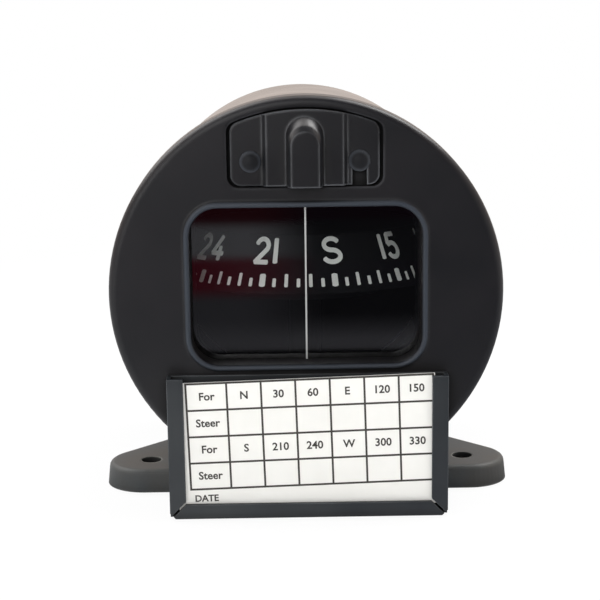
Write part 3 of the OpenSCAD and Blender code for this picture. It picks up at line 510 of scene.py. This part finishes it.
# Brass inside the bowl, blackened so that it stays dark behind the glass
BLACKENED = TurnedMetal("blackened_brass", "#151312", "#0e0d0c", 0.6)
INSIDE_BOWL = ("jewel_post", "post_cap", "jewel_carrier", "pivot_collar", "expansion_diaphragm")
# The pin is steel with a black oxide skin, as dark as the brass round it
BLACK_OXIDE = TurnedMetal("black_oxide_steel", "#151312", "#0e0d0c", 0.6)
# Dead black on the frame and seal that hold the glass, darker than their own finish as painted shade in the
# gap round the glass, so that a dark line edges the view of the dial
DEAD_BLACK = Speckled("dead_black_and_painted_shade", "#050506", "#08080a", 0.9, 0.3, specular=0.05)
GLASS_SEAT = ("glass_clamp", "glass_gasket")
# White paint drawn thin as a line on the glass, so greyer than on the dial
LINE_WHITE = Speckled("thin_white_line", "#b9bab9", "#a9aaa9", 0.6, 0.25)
# Screw heads in dull black, duller than the stamping that they hold, with a painted highlight round their rims
# and darker crowns
DULL_HEADS = Enamel("dull_black_screws", "#3a3d43", "#404348", "#50535a", 0.5, specular=0.2, corner_mm=0.4,
                    crest_painted_light="#18191d", crest_light_from=HEAD_Y, crest_light_to=CROWN_Y)
# Laser print on the paper: warm dark grey, thin enough to let the paper lighten it
INK = Speckled("laser_print", "#383532", "#484541", 0.75, 0.2)


class Workshop:
    """Makes each finish once and turns solids into pieces that ride on a body."""

    def __init__(self, frame: dict[str, Any]) -> None:
        """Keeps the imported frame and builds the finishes.
        """
        self.frame = frame
        self.finishes = {slot: finish.material() for slot, finish in FINISHES.items()}
        self.ink = INK.material()
        self.special = dict.fromkeys(INSIDE_BOWL, BLACKENED.material())
        self.special.update(dict.fromkeys(GLASS_SEAT, DEAD_BLACK.material()))
        self.special["pivot_pin"] = BLACK_OXIDE.material()
        self.special["cover_screws"] = DULL_HEADS.material()
        self.special["lubber_line"] = LINE_WHITE.material()

    def dress_nodes(self) -> None:
        """Gives every CAD node its own finish, or else that of its slot."""
        for part in self.frame["record"]["subparts"]:
            node = self.frame["nodes"][part["node"]]
            finish = self.special.get(part["node"], self.finishes[part["material_slot"]])
            node.data.materials.clear()
            node.data.materials.append(finish)
            LOG.info("dressed %s with %s", part["node"], finish.name)

    def piece(self, name: str, solid: Solid, finish: bpy.types.Material, body: Body,
              slot: str) -> bpy.types.Object:
        """Turns a closed solid into a piece that rides on a body.

        Args:
            name: The piece's name.
            solid: Points in metres and faces.
            finish: The piece's material.
            body: The body that carries it.
            slot: The record's slot that the finish belongs to. It is not used.

        Returns:
            The new object.
        """
        mesh = bpy.data.meshes.new(name)
        mesh.from_pydata(solid[0], [], solid[1])
        form = bmesh.new()
        form.from_mesh(mesh)
        bmesh.ops.remove_doubles(form, verts=form.verts, dist=WELD)
        bmesh.ops.recalc_face_normals(form, faces=form.faces)
        form.to_mesh(mesh)
        form.free()
        mesh.materials.append(finish)
        piece = bpy.data.objects.new(name, mesh)
        bpy.context.scene.collection.objects.link(piece)
        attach(piece, body.value)
        LOG.info("made %s on %s", name, body.value)
        return piece


def joined(solids: list[Solid]) -> Solid:
    """Puts several solids into one list of points and faces.

    Args:
        solids: The solids, in their order.

    Returns:
        All their points and faces.
    """
    points: list[Triple] = []
    faces: list[Face] = []
    for part_points, part_faces in solids:
        start = len(points)
        points += part_points
        faces += [tuple(start + i for i in face) for face in part_faces]
    return points, faces


# Steps in a stroke's rounded end, and the share of a step at which it starts, so that its tip has a width
CAP_STEPS = 4
CAP_START = 0.4
# Degrees in a step of a bow, and its least number of steps
BOW_STEP = 12
BOW_LEAST = 4


def stroke(path: list[Point], width: float, thick: float, end_round: float) -> Solid:
    """Sweeps a flat brush stroke with rounded ends along a path.

    Args:
        path: The stroke's centre line, in millimetres.
        width: The stroke's width.
        thick: The paint's thickness.
        end_round: Length of each rounded end, as a share of half the width.

    Returns:
        A closed solid of points (across, up, out) in millimetres.
    """
    half = width / 2
    line = [Vector(p) for p in path]
    last = len(line) - 1
    ways = [(line[min(i + 1, last)] - line[max(i - 1, 0)]).normalized() for i in range(len(line))]
    turns = [math.radians(90 * (k + CAP_START) / CAP_STEPS) for k in range(CAP_STEPS)]
    reach = half * end_round
    rows = [(line[0] - ways[0] * reach * math.cos(a), ways[0], half * math.sin(a)) for a in turns]
    rows += [(p, w, half) for p, w in zip(line, ways)]
    rows += [(line[-1] + ways[-1] * reach * math.cos(a), ways[-1], half * math.sin(a))
             for a in reversed(turns)]
    points: list[Triple] = []
    for middle, way, out_to in rows:
        side = Vector((-way.y, way.x)) * out_to
        for edge, out in ((side, 0.0), (side, thick), (-side, thick), (-side, 0.0)):
            points.append((middle.x + edge.x, middle.y + edge.y, out))
    end = 4 * (len(rows) - 1)
    faces: list[Face] = [(0, 1, 2, 3), (end + 3, end + 2, end + 1, end)]
    for a in range(0, end, 4):
        faces += [(a + k, a + 4 + k, a + 4 + (k + 1) % 4, a + (k + 1) % 4) for k in range(4)]
    return points, faces


def bow(x: float, y: float, rx: float, ry: float, start: float, end: float) -> list[Point]:
    """Gives points on part of an ellipse.

    Args:
        x: Its middle across.
        y: Its middle upwards.
        rx: Half its width.
        ry: Half its height.
        start: The angle of the first point, in degrees.
        end: The angle of the last point, in degrees.

    Returns:
        The points in order.
    """
    steps = max(BOW_LEAST, int(abs(end - start) / BOW_STEP))
    angles = [math.radians(start + (end - start) * i / steps) for i in range(steps + 1)]
    return [(x + rx * math.cos(a), y + ry * math.sin(a)) for a in angles]


# Centre lines of the dial's letters in a box one unit high, and the width of each box
LETTERS: dict[str, tuple[float, list[list[Point]]]] = {
    "0": (0.56, [bow(0.28, 0.5, 0.28, 0.5, 0, 360)]),
    "1": (0.0, [[(0, 0), (0, 1)]]),
    "2": (0.55, [bow(0.28, 0.72, 0.27, 0.28, 165, -38) + [(0.0, 0.0)], [(0.0, 0.0), (0.55, 0.0)]]),
    "3": (0.54, [bow(0.25, 0.76, 0.25, 0.24, 150, -90), bow(0.25, 0.26, 0.29, 0.26, 90, -150)]),
    "4": (0.6, [[(0.4, 1), (0, 0.27)], [(0, 0.27), (0.6, 0.27)], [(0.42, 0.55), (0.42, 0)]]),
    "5": (0.55, [[(0.52, 1), (0.1, 1)], [(0.1, 1), (0.06, 0.6)],
                 [(0.06, 0.56)] + bow(0.26, 0.31, 0.29, 0.31, 115, -150)]),
    "6": (0.56, [bow(0.28, 0.28, 0.28, 0.28, 0, 360), bow(0.56, 0.28, 0.56, 0.72, 180, 100)]),
    "N": (0.66, [[(0, 0), (0, 1)], [(0, 1), (0.66, 0)], [(0.66, 0), (0.66, 1)]]),
    "E": (0.56, [[(0, 0), (0, 1)], [(0, 0), (0.56, 0)], [(0, 0.52), (0.46, 0.52)], [(0, 1), (0.56, 1)]]),
    "S": (0.74, [bow(0.37, 0.755, 0.34, 0.245, 30, 270) + bow(0.37, 0.255, 0.37, 0.255, 80, -155)]),
    "W": (0.9, [[(0, 1), (0.22, 0)], [(0.22, 0), (0.45, 0.8)], [(0.45, 0.8), (0.68, 0)],
                [(0.68, 0), (0.9, 1)]]),
}
# The dial's marks from north round to the right, one at each bold tick
DIAL_WORDS = ("N", "3", "6", "E", "12", "15", "S", "21", "24", "W", "30", "33")


@dataclass
class DialMarks:
    """The painted ticks, numerals and letters on the compass card's conical skirt.

    Lengths up the skirt are heights above its lower edge. The heading is the one that faces the front.
    """

    shop: Workshop
    slope: float = 25.0
    heading: float = 192.08
    tick_step: int = 5
    long_step: int = 10
    bold_step: int = 30
    tick_low: float = 1.4
    long_tick: float = 2.7
    short_tick: float = 1.8
    tick_w: float = 0.68
    bold_w: float = 1.2
    letter_mid: float = 8.85
    letter_h: float = 5.75
    letter_w: float = 0.98
    end_round: float = 0.5
    letter_gap: float = 0.75
    paint: float = 0.05

    def on_cone(self, solid: Solid, angle: float) -> Solid:
        """Wraps a flat solid round the skirt.

        Args:
            solid: Points (across, up from the skirt's lower edge, out) in millimetres, and faces.
            angle: The place of across = 0 round the card, in degrees to the right of the front.

        Returns:
            The same solid in metres on the card.
        """
        low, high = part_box("compass_card")
        axis_y = (low.y + high.y) / 2
        edge_r = (high.x - low.x) / 2 / MM
        lean = math.radians(self.slope)
        middle_r = edge_r - self.letter_mid * math.tan(lean)
        points: list[Triple] = []
        for across, up, out in solid[0]:
            turn = math.radians(angle) + across / middle_r
            r = (edge_r - up * math.tan(lean) + out * math.cos(lean)) * MM
            z = low.z + (up + out * math.sin(lean)) * MM
            points.append((r * math.sin(turn), axis_y - r * math.cos(turn), z))
        return points, solid[1]

    def tick(self, degrees: int) -> Solid:
        """Makes the tick of one heading: bold, long or short.

        Args:
            degrees: The heading that it marks.

        Returns:
            The painted stroke on the card.
        """
        width = self.tick_w if degrees % self.bold_step else self.bold_w
        tall = self.short_tick if degrees % self.long_step else self.long_tick
        inset = self.end_round * width / 2
        ends = [(0.0, self.tick_low + inset), (0.0, self.tick_low + tall - inset)]
        return self.on_cone(stroke(ends, width, self.paint, self.end_round), self.heading - degrees)

    def word(self, text: str, degrees: int) -> Solid:
        """Paints a numeral or letter centred on its heading.

        Args:
            text: The letters.
            degrees: The heading that it marks.

        Returns:
            The painted strokes on the card.
        """
        scale = self.letter_h - self.letter_w
        step = self.letter_gap + self.letter_w
        widths = [LETTERS[c][0] * scale for c in text]
        x = -(sum(widths) + step * (len(text) - 1)) / 2
        low = self.letter_mid - scale / 2
        solids: list[Solid] = []
        for letter, width in zip(text, widths):
            for path in LETTERS[letter][1]:
                line = [(x + px * scale, low + py * scale) for px, py in path]
                solids.append(stroke(line, self.letter_w, self.paint, self.end_round))
            x += width + step
        return self.on_cone(joined(solids), self.heading - degrees)

    def build(self) -> None:
        """Paints the whole card."""
        white = self.shop.finishes["white_paint"]
        ticks = joined([self.tick(d) for d in range(0, 360, self.tick_step)])
        words = joined([self.word(text, self.bold_step * i) for i, text in enumerate(DIAL_WORDS)])
        self.shop.piece("dial_ticks", ticks, white, Body.CARD, "white_paint")
        self.shop.piece("dial_numerals", words, white, Body.CARD, "white_paint")


@dataclass
class JewelSpring:
    """The coil spring under the jewel, in place of the stiff one of the frame.
    """

    shop: Workshop
    node: str = "jewel_spring"
    joint: str = "jewel_spring_travel"
    wire: float = 0.4
    turns: int = 6
    turn_steps: int = 32
    wire_sides: int = 10
    travel: float = 0.8

    def coil(self) -> Solid:
        """Winds the wire inside the box of the frame's spring.

        Returns:
            The wire as a closed solid in metres.
        """
        low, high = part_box(self.node)
        middle = (low + high) / 2
        thick = self.wire / 2 * MM
        coil_r = (high.x - low.x) / 2 - thick
        rise = high.z - low.z - 2 * thick
        steps = self.turns * self.turn_steps
        sides = self.wire_sides
        points: list[Triple] = []
        for i in range(steps + 1):
            turn = 2 * math.pi * i / self.turn_steps
            for k in range(sides):
                side = 2 * math.pi * k / sides
                r = coil_r + thick * math.cos(side)
                points.append((middle.x + r * math.cos(turn), middle.y + r * math.sin(turn),
                               low.z + thick + rise * i / steps + thick * math.sin(side)))
        faces: list[Face] = [tuple(range(sides)), tuple(range(steps * sides, (steps + 1) * sides))]
        for i in range(steps):
            for k in range(sides):
                a, b = i * sides + k, i * sides + (k + 1) % sides
                faces.append((a, b, b + sides, a + sides))
        return points, faces

    def build(self) -> None:
        """Winds the spring on its foot, so that its top stays under the jewel's carrier."""
        spring = self.shop.piece("wound_spring", self.coil(), self.shop.finishes["steel"], Body.CASE, "steel")
        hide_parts(self.node)
        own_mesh(spring)


# The table's rows: each starts with its label
TABLE_LINES = (("For", "N", "30", "60", "E", "120", "150"), ("Steer",),
               ("For", "S", "210", "240", "W", "300", "330"), ("Steer",))


@dataclass
class CardPrint:
    """The printed table of headings on the paper correction card.

    Places are distances from the paper's left edge and heights above its lower edge. The print leans a little.
    """

    shop: Workshop
    paper_w: float = 54.8
    lean: float = 1.65
    left: float = 2.7
    first_col: float = 8.5
    col: float = 7.2
    columns: int = 6
    low: float = 5.2
    row: float = 5.75
    rows: int = 4
    rule_w: float = 0.42
    text_size: float = 2.35
    text_bold: float = 0.055
    curve_steps: int = 3
    date_size: float = 2.0
    date_at: Point = (5.9, 3.1)
    print_t: float = 0.02

    def on_paper(self, solid: Solid) -> Solid:
        """Lays a flat solid on the paper's front.

        Args:
            solid: Points (across, up, out) in millimetres, and faces.

        Returns:
            The same solid in metres on the paper.
        """
        low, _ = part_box("correction_card")
        turn = math.radians(self.lean)
        cos, sin = math.cos(turn), math.sin(turn)
        start_x = -self.paper_w / 2
        points = [((start_x + u * cos - v * sin) * MM, low.y - out * MM, low.z + (u * sin + v * cos) * MM)
                  for u, v, out in solid[0]]
        return points, solid[1]

    def bar(self, u0: float, v0: float, u1: float, v1: float) -> Solid:
        """Gives a thin upright or level bar of print.

        Args:
            u0: Its left side.
            v0: Its lower side.
            u1: Its right side.
            v1: Its upper side.

        Returns:
            The bar as a flat solid in millimetres.
        """
        corners = [(u0, v0), (u1, v0), (u1, v1), (u0, v1)]
        points = [(u, v, out) for out in (0.0, self.print_t) for u, v in corners]
        sides = [(i, (i + 1) % 4, 4 + (i + 1) % 4, 4 + i) for i in range(4)]
        return points, [(3, 2, 1, 0), (4, 5, 6, 7)] + sides

    def edges(self) -> list[float]:
        """Gives the distance of each upright rule from the paper's left edge."""
        return [self.left] + [self.left + self.first_col + self.col * i for i in range(self.columns + 1)]

    def rules(self) -> Solid:
        """Draws the table's rules, each level one in stretches between the upright ones.

        Returns:
            The rules as a flat solid in millimetres.
        """
        half = self.rule_w / 2
        top = self.low + self.row * self.rows
        edges = self.edges()
        right = min(edges[-1], self.paper_w) - half
        bars = [self.bar(u - half, self.low - half, u + half, top + half)
                for u in edges if u + half < self.paper_w]
        for i in range(self.rows + 1):
            v = self.low + self.row * i
            for u0, u1 in zip(edges, edges[1:]):
                bars.append(self.bar(u0 + half, v - half, min(u1 - half, right), v + half))
        return joined(bars)

    def text(self, body: str, u: float, v: float, size: float) -> Solid:
        """Sets a word in plain type, centred at a place on the paper.

        Args:
            body: The word.
            u: Distance from the paper's left edge, in millimetres.
            v: Height above the paper's lower edge, in millimetres.
            size: The type's size, in millimetres.

        Returns:
            The word as a flat solid.
        """
        curve = bpy.data.curves.new("type", "FONT")
        curve.body = body
        curve.size = size
        curve.offset = self.text_bold
        curve.align_x = "CENTER"
        curve.align_y = "CENTER"
        curve.extrude = self.print_t / 2
        curve.resolution_u = self.curve_steps
        holder = bpy.data.objects.new("type", curve)
        bpy.context.scene.collection.objects.link(holder)
        shape = holder.evaluated_get(bpy.context.evaluated_depsgraph_get()).to_mesh()
        points = [(u + p.co.x, v + p.co.y, p.co.z + self.print_t / 2) for p in shape.vertices]
        faces = [tuple(f.vertices) for f in shape.polygons]
        bpy.data.objects.remove(holder)
        bpy.data.curves.remove(curve)
        return points, faces

    def words(self) -> Solid:
        """Sets the table's labels and headings.

        Returns:
            The words as a flat solid in millimetres.
        """
        edges = self.edges()
        set_words = [self.text("DATE", *self.date_at, self.date_size)]
        for i, line in enumerate(TABLE_LINES):
            v = self.low + self.row * (self.rows - i - 0.5)
            set_words += [self.text(word, (edges[k] + edges[k + 1]) / 2, v, self.text_size)
                          for k, word in enumerate(line)]
        return joined(set_words)

    def build(self) -> None:
        """Prints the card."""
        self.shop.piece("card_rules", self.on_paper(self.rules()), self.shop.ink, Body.PAPER, "paper")
        self.shop.piece("card_words", self.on_paper(self.words()), self.shop.ink, Body.PAPER, "paper")


@dataclass(frozen=True)
class SoftLamp:
    """A square soft lamp that looks at the middle of the object, in metres and watts."""

    name: str
    place: Triple
    size: float
    power: float
    target: Triple = (0.0, 0.0, 0.045)

    def hang(self) -> None:
        """Puts the lamp into the scene."""
        light = bpy.data.lights.new(self.name, "AREA")
        light.size = self.size
        light.energy = self.power
        lamp = bpy.data.objects.new(self.name, light)
        lamp.location = self.place
        way = Vector(self.target) - Vector(self.place)
        lamp.rotation_euler = way.to_track_quat("-Z", "Y").to_euler()
        bpy.context.scene.collection.objects.link(lamp)


# The key lamp stands in front. Those at the sides give the cover's nose its two highlights
LAMPS = (
    SoftLamp("key_lamp", (-0.2, -0.66, 0.31), 0.5, 1.74),
    SoftLamp("top_lamp", (0.07, 0.05, 0.65), 0.34, 0.7),
    SoftLamp("left_lamp", (-0.32, 0.12, 0.46), 0.5, 2.6),
    SoftLamp("right_lamp", (0.28, 0.12, 0.49), 0.32, 2.4),
)


@dataclass
class Studio:
    """A pale floor, a white surround, soft lamps and the camera at the photograph's viewing angle."""

    # The camera: its focal length in pixels of the picture, its place, and its angles in degrees
    picture_px: int = 600
    focal_px: float = 1605.0
    sensor: float = 36.0
    place: Triple = (-4.6, -348.6, 116.1)
    yaw: float = 0.57
    pitch: float = 12.08
    roll: float = -0.7
    # The surround: its even light, and how bright gloss sees it in front, at the sides and behind
    fill: float = 0.43
    front_glow: float = 0.05
    side_glow: float = 0.9
    back_glow: float = 1.0
    front_to_back: Range = (-0.3, 0.3)
    to_side: Range = (0.4, 0.7)
    gloss_tone: str = "#fff0e6"
    # The floor in metres, its gap under the object, and where its shadow fades out to white
    floor_size: float = 3.0
    floor_gap: float = 0.2
    floor_tone: str = "#f6f6f6"
    floor_share: float = 0.9
    shadow_fade: Range = (120.0, 300.0)
    # A painted reflection, seen only by gloss, of a table in front: share of the way along it, and the tone.
    # Its dark strip at the end shows in the glass as a dark line along the window's lower edge
    room: Range = (-420.0, -60.0)
    room_tones: tuple[tuple[float, str], ...] = (
        (0.0, "#56242f"), (0.05, "#56242f"), (0.12, "#a0a0a6"), (0.28, "#a0a0a6"), (0.33, "#842f40"),
        (0.47, "#842f40"), (0.53, "#68686f"), (0.62, "#6a6a71"), (0.7, "#84848b"), (0.725, "#84848b"),
        (0.737, "#08080a"))
    # In the painted reflection the table is dark to the right, but not close to the object
    to_right: Range = (-22.0, 12.0)
    to_far: Range = (-172.0, -206.0)
    dark_tone: str = "#323237"
    # Close to the object it is white, and greyer to the right
    to_near: Range = (-147.0, -112.0)
    near_right: str = "#bebec2"
    # It is pale again to both sides, this far from its middle
    pale_mid: float = 42.0
    to_pale: Range = (108.0, 162.0)

    def surround(self) -> None:
        """Lights the object evenly. The camera, gloss and glass see white, with a dim room in front."""
        world = bpy.data.worlds.new("white_surround")
        bpy.context.scene.world = world
        world.use_nodes = True
        tree = world.node_tree
        tree.nodes.clear()
        path = add_node(tree, "ShaderNodeLightPath").outputs
        way = add_node(tree, "ShaderNodeTexCoord").outputs["Generated"]
        parts = add_node(tree, "ShaderNodeSeparateXYZ", links={0: way})
        behind = add_node(tree, "ShaderNodeMapRange",
                          {"From Min": self.front_to_back[0], "From Max": self.front_to_back[1],
                           "To Min": self.front_glow, "To Max": self.back_glow},
                          {"Value": parts.outputs["Y"]})
        aside = add_node(tree, "ShaderNodeMath", links={0: parts.outputs["X"]}, operation="ABSOLUTE")
        side = add_node(tree, "ShaderNodeMapRange",
                        {"From Min": self.to_side[0], "From Max": self.to_side[1], "To Max": self.side_glow},
                        {"Value": aside.outputs["Value"]})
        round_about = add_node(tree, "ShaderNodeMath",
                               links={0: behind.outputs["Result"], 1: side.outputs["Result"]},
                               operation="MAXIMUM")
        shown = add_node(tree, "ShaderNodeMath",
                         links={0: path["Is Glossy Ray"], 1: path["Is Transmission Ray"]}, operation="MAXIMUM")
        light = add_node(tree, "ShaderNodeMix", {VALUE_A: self.fill},
                         {FACTOR: shown.outputs["Value"], VALUE_B: round_about.outputs["Value"]})
        level = add_node(tree, "ShaderNodeMix", {VALUE_B: 1.0},
                         {FACTOR: path["Is Camera Ray"], VALUE_A: light.outputs[MIXED_VALUE]})
        tone = add_node(tree, "ShaderNodeMix", {COLOUR_A: linear(WHITE), COLOUR_B: linear(self.gloss_tone)},
                        {FACTOR: path["Is Glossy Ray"]}, data_type="RGBA")
        glow = add_node(tree, "ShaderNodeBackground",
                        links={"Color": tone.outputs[MIXED_COLOUR], "Strength": level.outputs[MIXED_VALUE]})
        add_node(tree, "ShaderNodeOutputWorld", links={"Surface": glow.outputs["Background"]})

    def painted_table_reflection(self, tree: bpy.types.NodeTree, across: bpy.types.NodeSocket,
                       along: bpy.types.NodeSocket) -> bpy.types.NodeSocket:
        """Paints the reflection of a table in front, which only gloss sees.

        Args:
            tree: The floor's node tree.
            across: Distance to the right of the object's middle.
            along: Distance behind the object's middle.

        Returns:
            The colour.
        """
        forward = add_node(tree, "ShaderNodeMapRange",
                           {"From Min": self.room[0] * MM, "From Max": self.room[1] * MM}, {"Value": along})
        tones = add_node(tree, "ShaderNodeValToRGB", links={0: forward.outputs["Result"]})
        stops = tones.color_ramp.elements
        while len(stops) < len(self.room_tones):
            stops.new(1.0)
        for stop, (share, tone) in zip(stops, self.room_tones):
            stop.position = share
            stop.color = linear(tone)
        right = add_node(tree, "ShaderNodeMapRange",
                         {"From Min": self.to_right[0] * MM, "From Max": self.to_right[1] * MM},
                         {"Value": across}, interpolation_type="SMOOTHSTEP")
        far = add_node(tree, "ShaderNodeMapRange",
                       {"From Min": self.to_far[0] * MM, "From Max": self.to_far[1] * MM}, {"Value": along})
        shade = add_node(tree, "ShaderNodeMath",
                         links={0: right.outputs["Result"], 1: far.outputs["Result"]}, operation="MULTIPLY")
        dark = add_node(tree, "ShaderNodeMix", {COLOUR_B: linear(self.dark_tone)},
                        {FACTOR: shade.outputs["Value"], COLOUR_A: tones.outputs["Color"]},
                        data_type="RGBA", blend_type="DARKEN")
        close = add_node(tree, "ShaderNodeMix", {COLOUR_A: linear(WHITE), COLOUR_B: linear(self.near_right)},
                         {FACTOR: right.outputs["Result"]}, data_type="RGBA")
        near = add_node(tree, "ShaderNodeMapRange",
                        {"From Min": self.to_near[0] * MM, "From Max": self.to_near[1] * MM}, {"Value": along})
        table = add_node(tree, "ShaderNodeMix",
                         links={FACTOR: near.outputs["Result"], COLOUR_A: dark.outputs[MIXED_COLOUR],
                                COLOUR_B: close.outputs[MIXED_COLOUR]},
                         data_type="RGBA")
        return table.outputs[MIXED_COLOUR]

    def floor(self) -> None:
        """Lays a pale floor that keeps a soft shadow. Gloss sees on it a painted reflection that falls off to
        a dim room in front.
        """
        material, tree = blank_material("pale_floor")
        path = add_node(tree, "ShaderNodeLightPath").outputs
        place = add_node(tree, "ShaderNodeTexCoord").outputs["Object"]
        parts = add_node(tree, "ShaderNodeSeparateXYZ", links={0: place}).outputs
        table = self.painted_table_reflection(tree, parts["X"], parts["Y"])
        off_mid = add_node(tree, "ShaderNodeMath", {1: self.pale_mid * MM}, {0: parts["X"]},
                           operation="SUBTRACT")
        sideways = add_node(tree, "ShaderNodeMath", links={0: off_mid.outputs["Value"]}, operation="ABSOLUTE")
        pale = add_node(tree, "ShaderNodeMapRange",
                        {"From Min": self.to_pale[0] * MM, "From Max": self.to_pale[1] * MM},
                        {"Value": sideways.outputs["Value"]})
        dim = add_node(tree, "ShaderNodeMath", links={0: path["Is Glossy Ray"], 1: pale.outputs["Result"]},
                       operation="SUBTRACT", use_clamp=True)
        tint = add_node(tree, "ShaderNodeMix", {COLOUR_A: linear(WHITE)},
                        {FACTOR: dim.outputs["Value"], COLOUR_B: table}, data_type="RGBA")
        away = add_node(tree, "ShaderNodeVectorMath", links={0: place}, operation="LENGTH")
        white = add_node(tree, "ShaderNodeMapRange",
                         {"From Min": self.shadow_fade[0] * MM, "From Max": self.shadow_fade[1] * MM,
                          "To Min": self.floor_share},
                         {"Value": away.outputs["Value"]})
        seen = add_node(tree, "ShaderNodeMath",
                        links={0: path["Is Camera Ray"], 1: path["Is Transmission Ray"]}, operation="MAXIMUM")
        part_share = add_node(tree, "ShaderNodeMath",
                              links={0: seen.outputs["Value"], 1: white.outputs["Result"]},
                              operation="MULTIPLY")
        share = add_node(tree, "ShaderNodeMath",
                         links={0: part_share.outputs["Value"], 1: path["Is Glossy Ray"]}, operation="MAXIMUM")
        chalk = add_node(tree, "ShaderNodeBsdfDiffuse", {"Color": linear(self.floor_tone)})
        glow = add_node(tree, "ShaderNodeEmission", links={"Color": tint.outputs[MIXED_COLOUR]})
        mixed = add_node(tree, "ShaderNodeMixShader",
                         links={0: share.outputs["Value"], 1: chalk.outputs["BSDF"],
                                2: glow.outputs["Emission"]})
        add_node(tree, "ShaderNodeOutputMaterial", links={"Surface": mixed.outputs["Shader"]})
        mesh = bpy.data.meshes.new("floor")
        half = self.floor_size / 2
        corners = [(-half, -half, 0), (half, -half, 0), (half, half, 0), (-half, half, 0)]
        mesh.from_pydata(corners, [], [(0, 1, 2, 3)])
        mesh.materials.append(material)
        floor = bpy.data.objects.new("floor", mesh)
        floor.location.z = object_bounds()[0][2] - self.floor_gap * MM
        bpy.context.scene.collection.objects.link(floor)
        floor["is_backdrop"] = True

    def camera(self) -> None:
        """Sets the camera from its place, angles and focal length in pixels of the photograph."""
        yaw, pitch, roll = (math.radians(a) for a in (self.yaw, self.pitch, self.roll))
        ahead = Vector((math.sin(yaw) * math.cos(pitch), math.cos(yaw) * math.cos(pitch), -math.sin(pitch)))
        right = Vector((math.cos(yaw), -math.sin(yaw), 0))
        up = right.cross(ahead)
        side = math.cos(roll) * right + math.sin(roll) * up
        top = -math.sin(roll) * right + math.cos(roll) * up
        lens = bpy.data.cameras.new("photo_camera")
        lens.sensor_width = self.sensor
        lens.lens = self.focal_px / self.picture_px * self.sensor
        camera = bpy.data.objects.new("photo_camera", lens)
        turn = Matrix((side, top, -ahead)).transposed().to_4x4()
        camera.matrix_world = Matrix.Translation(Vector(self.place) * MM) @ turn
        bpy.context.scene.collection.objects.link(camera)
        bpy.context.scene.camera = camera

    def build(self) -> None:
        """Sets up the light, the floor and the camera."""
        bpy.context.scene.view_settings.view_transform = "Standard"
        self.camera()
        self.surround()
        self.floor()
        for lamp in LAMPS:
            lamp.hang()


def main() -> None:
    """Builds the looks in order."""
    logging.basicConfig(level=logging.INFO, format="%(message)s")
    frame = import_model()
    shop = Workshop(frame)
    shop.dress_nodes()
    JewelSpring(shop).build()
    DialMarks(shop).build()
    CardPrint(shop).build()
    Studio().build()


if __name__ == "__main__":
    main()
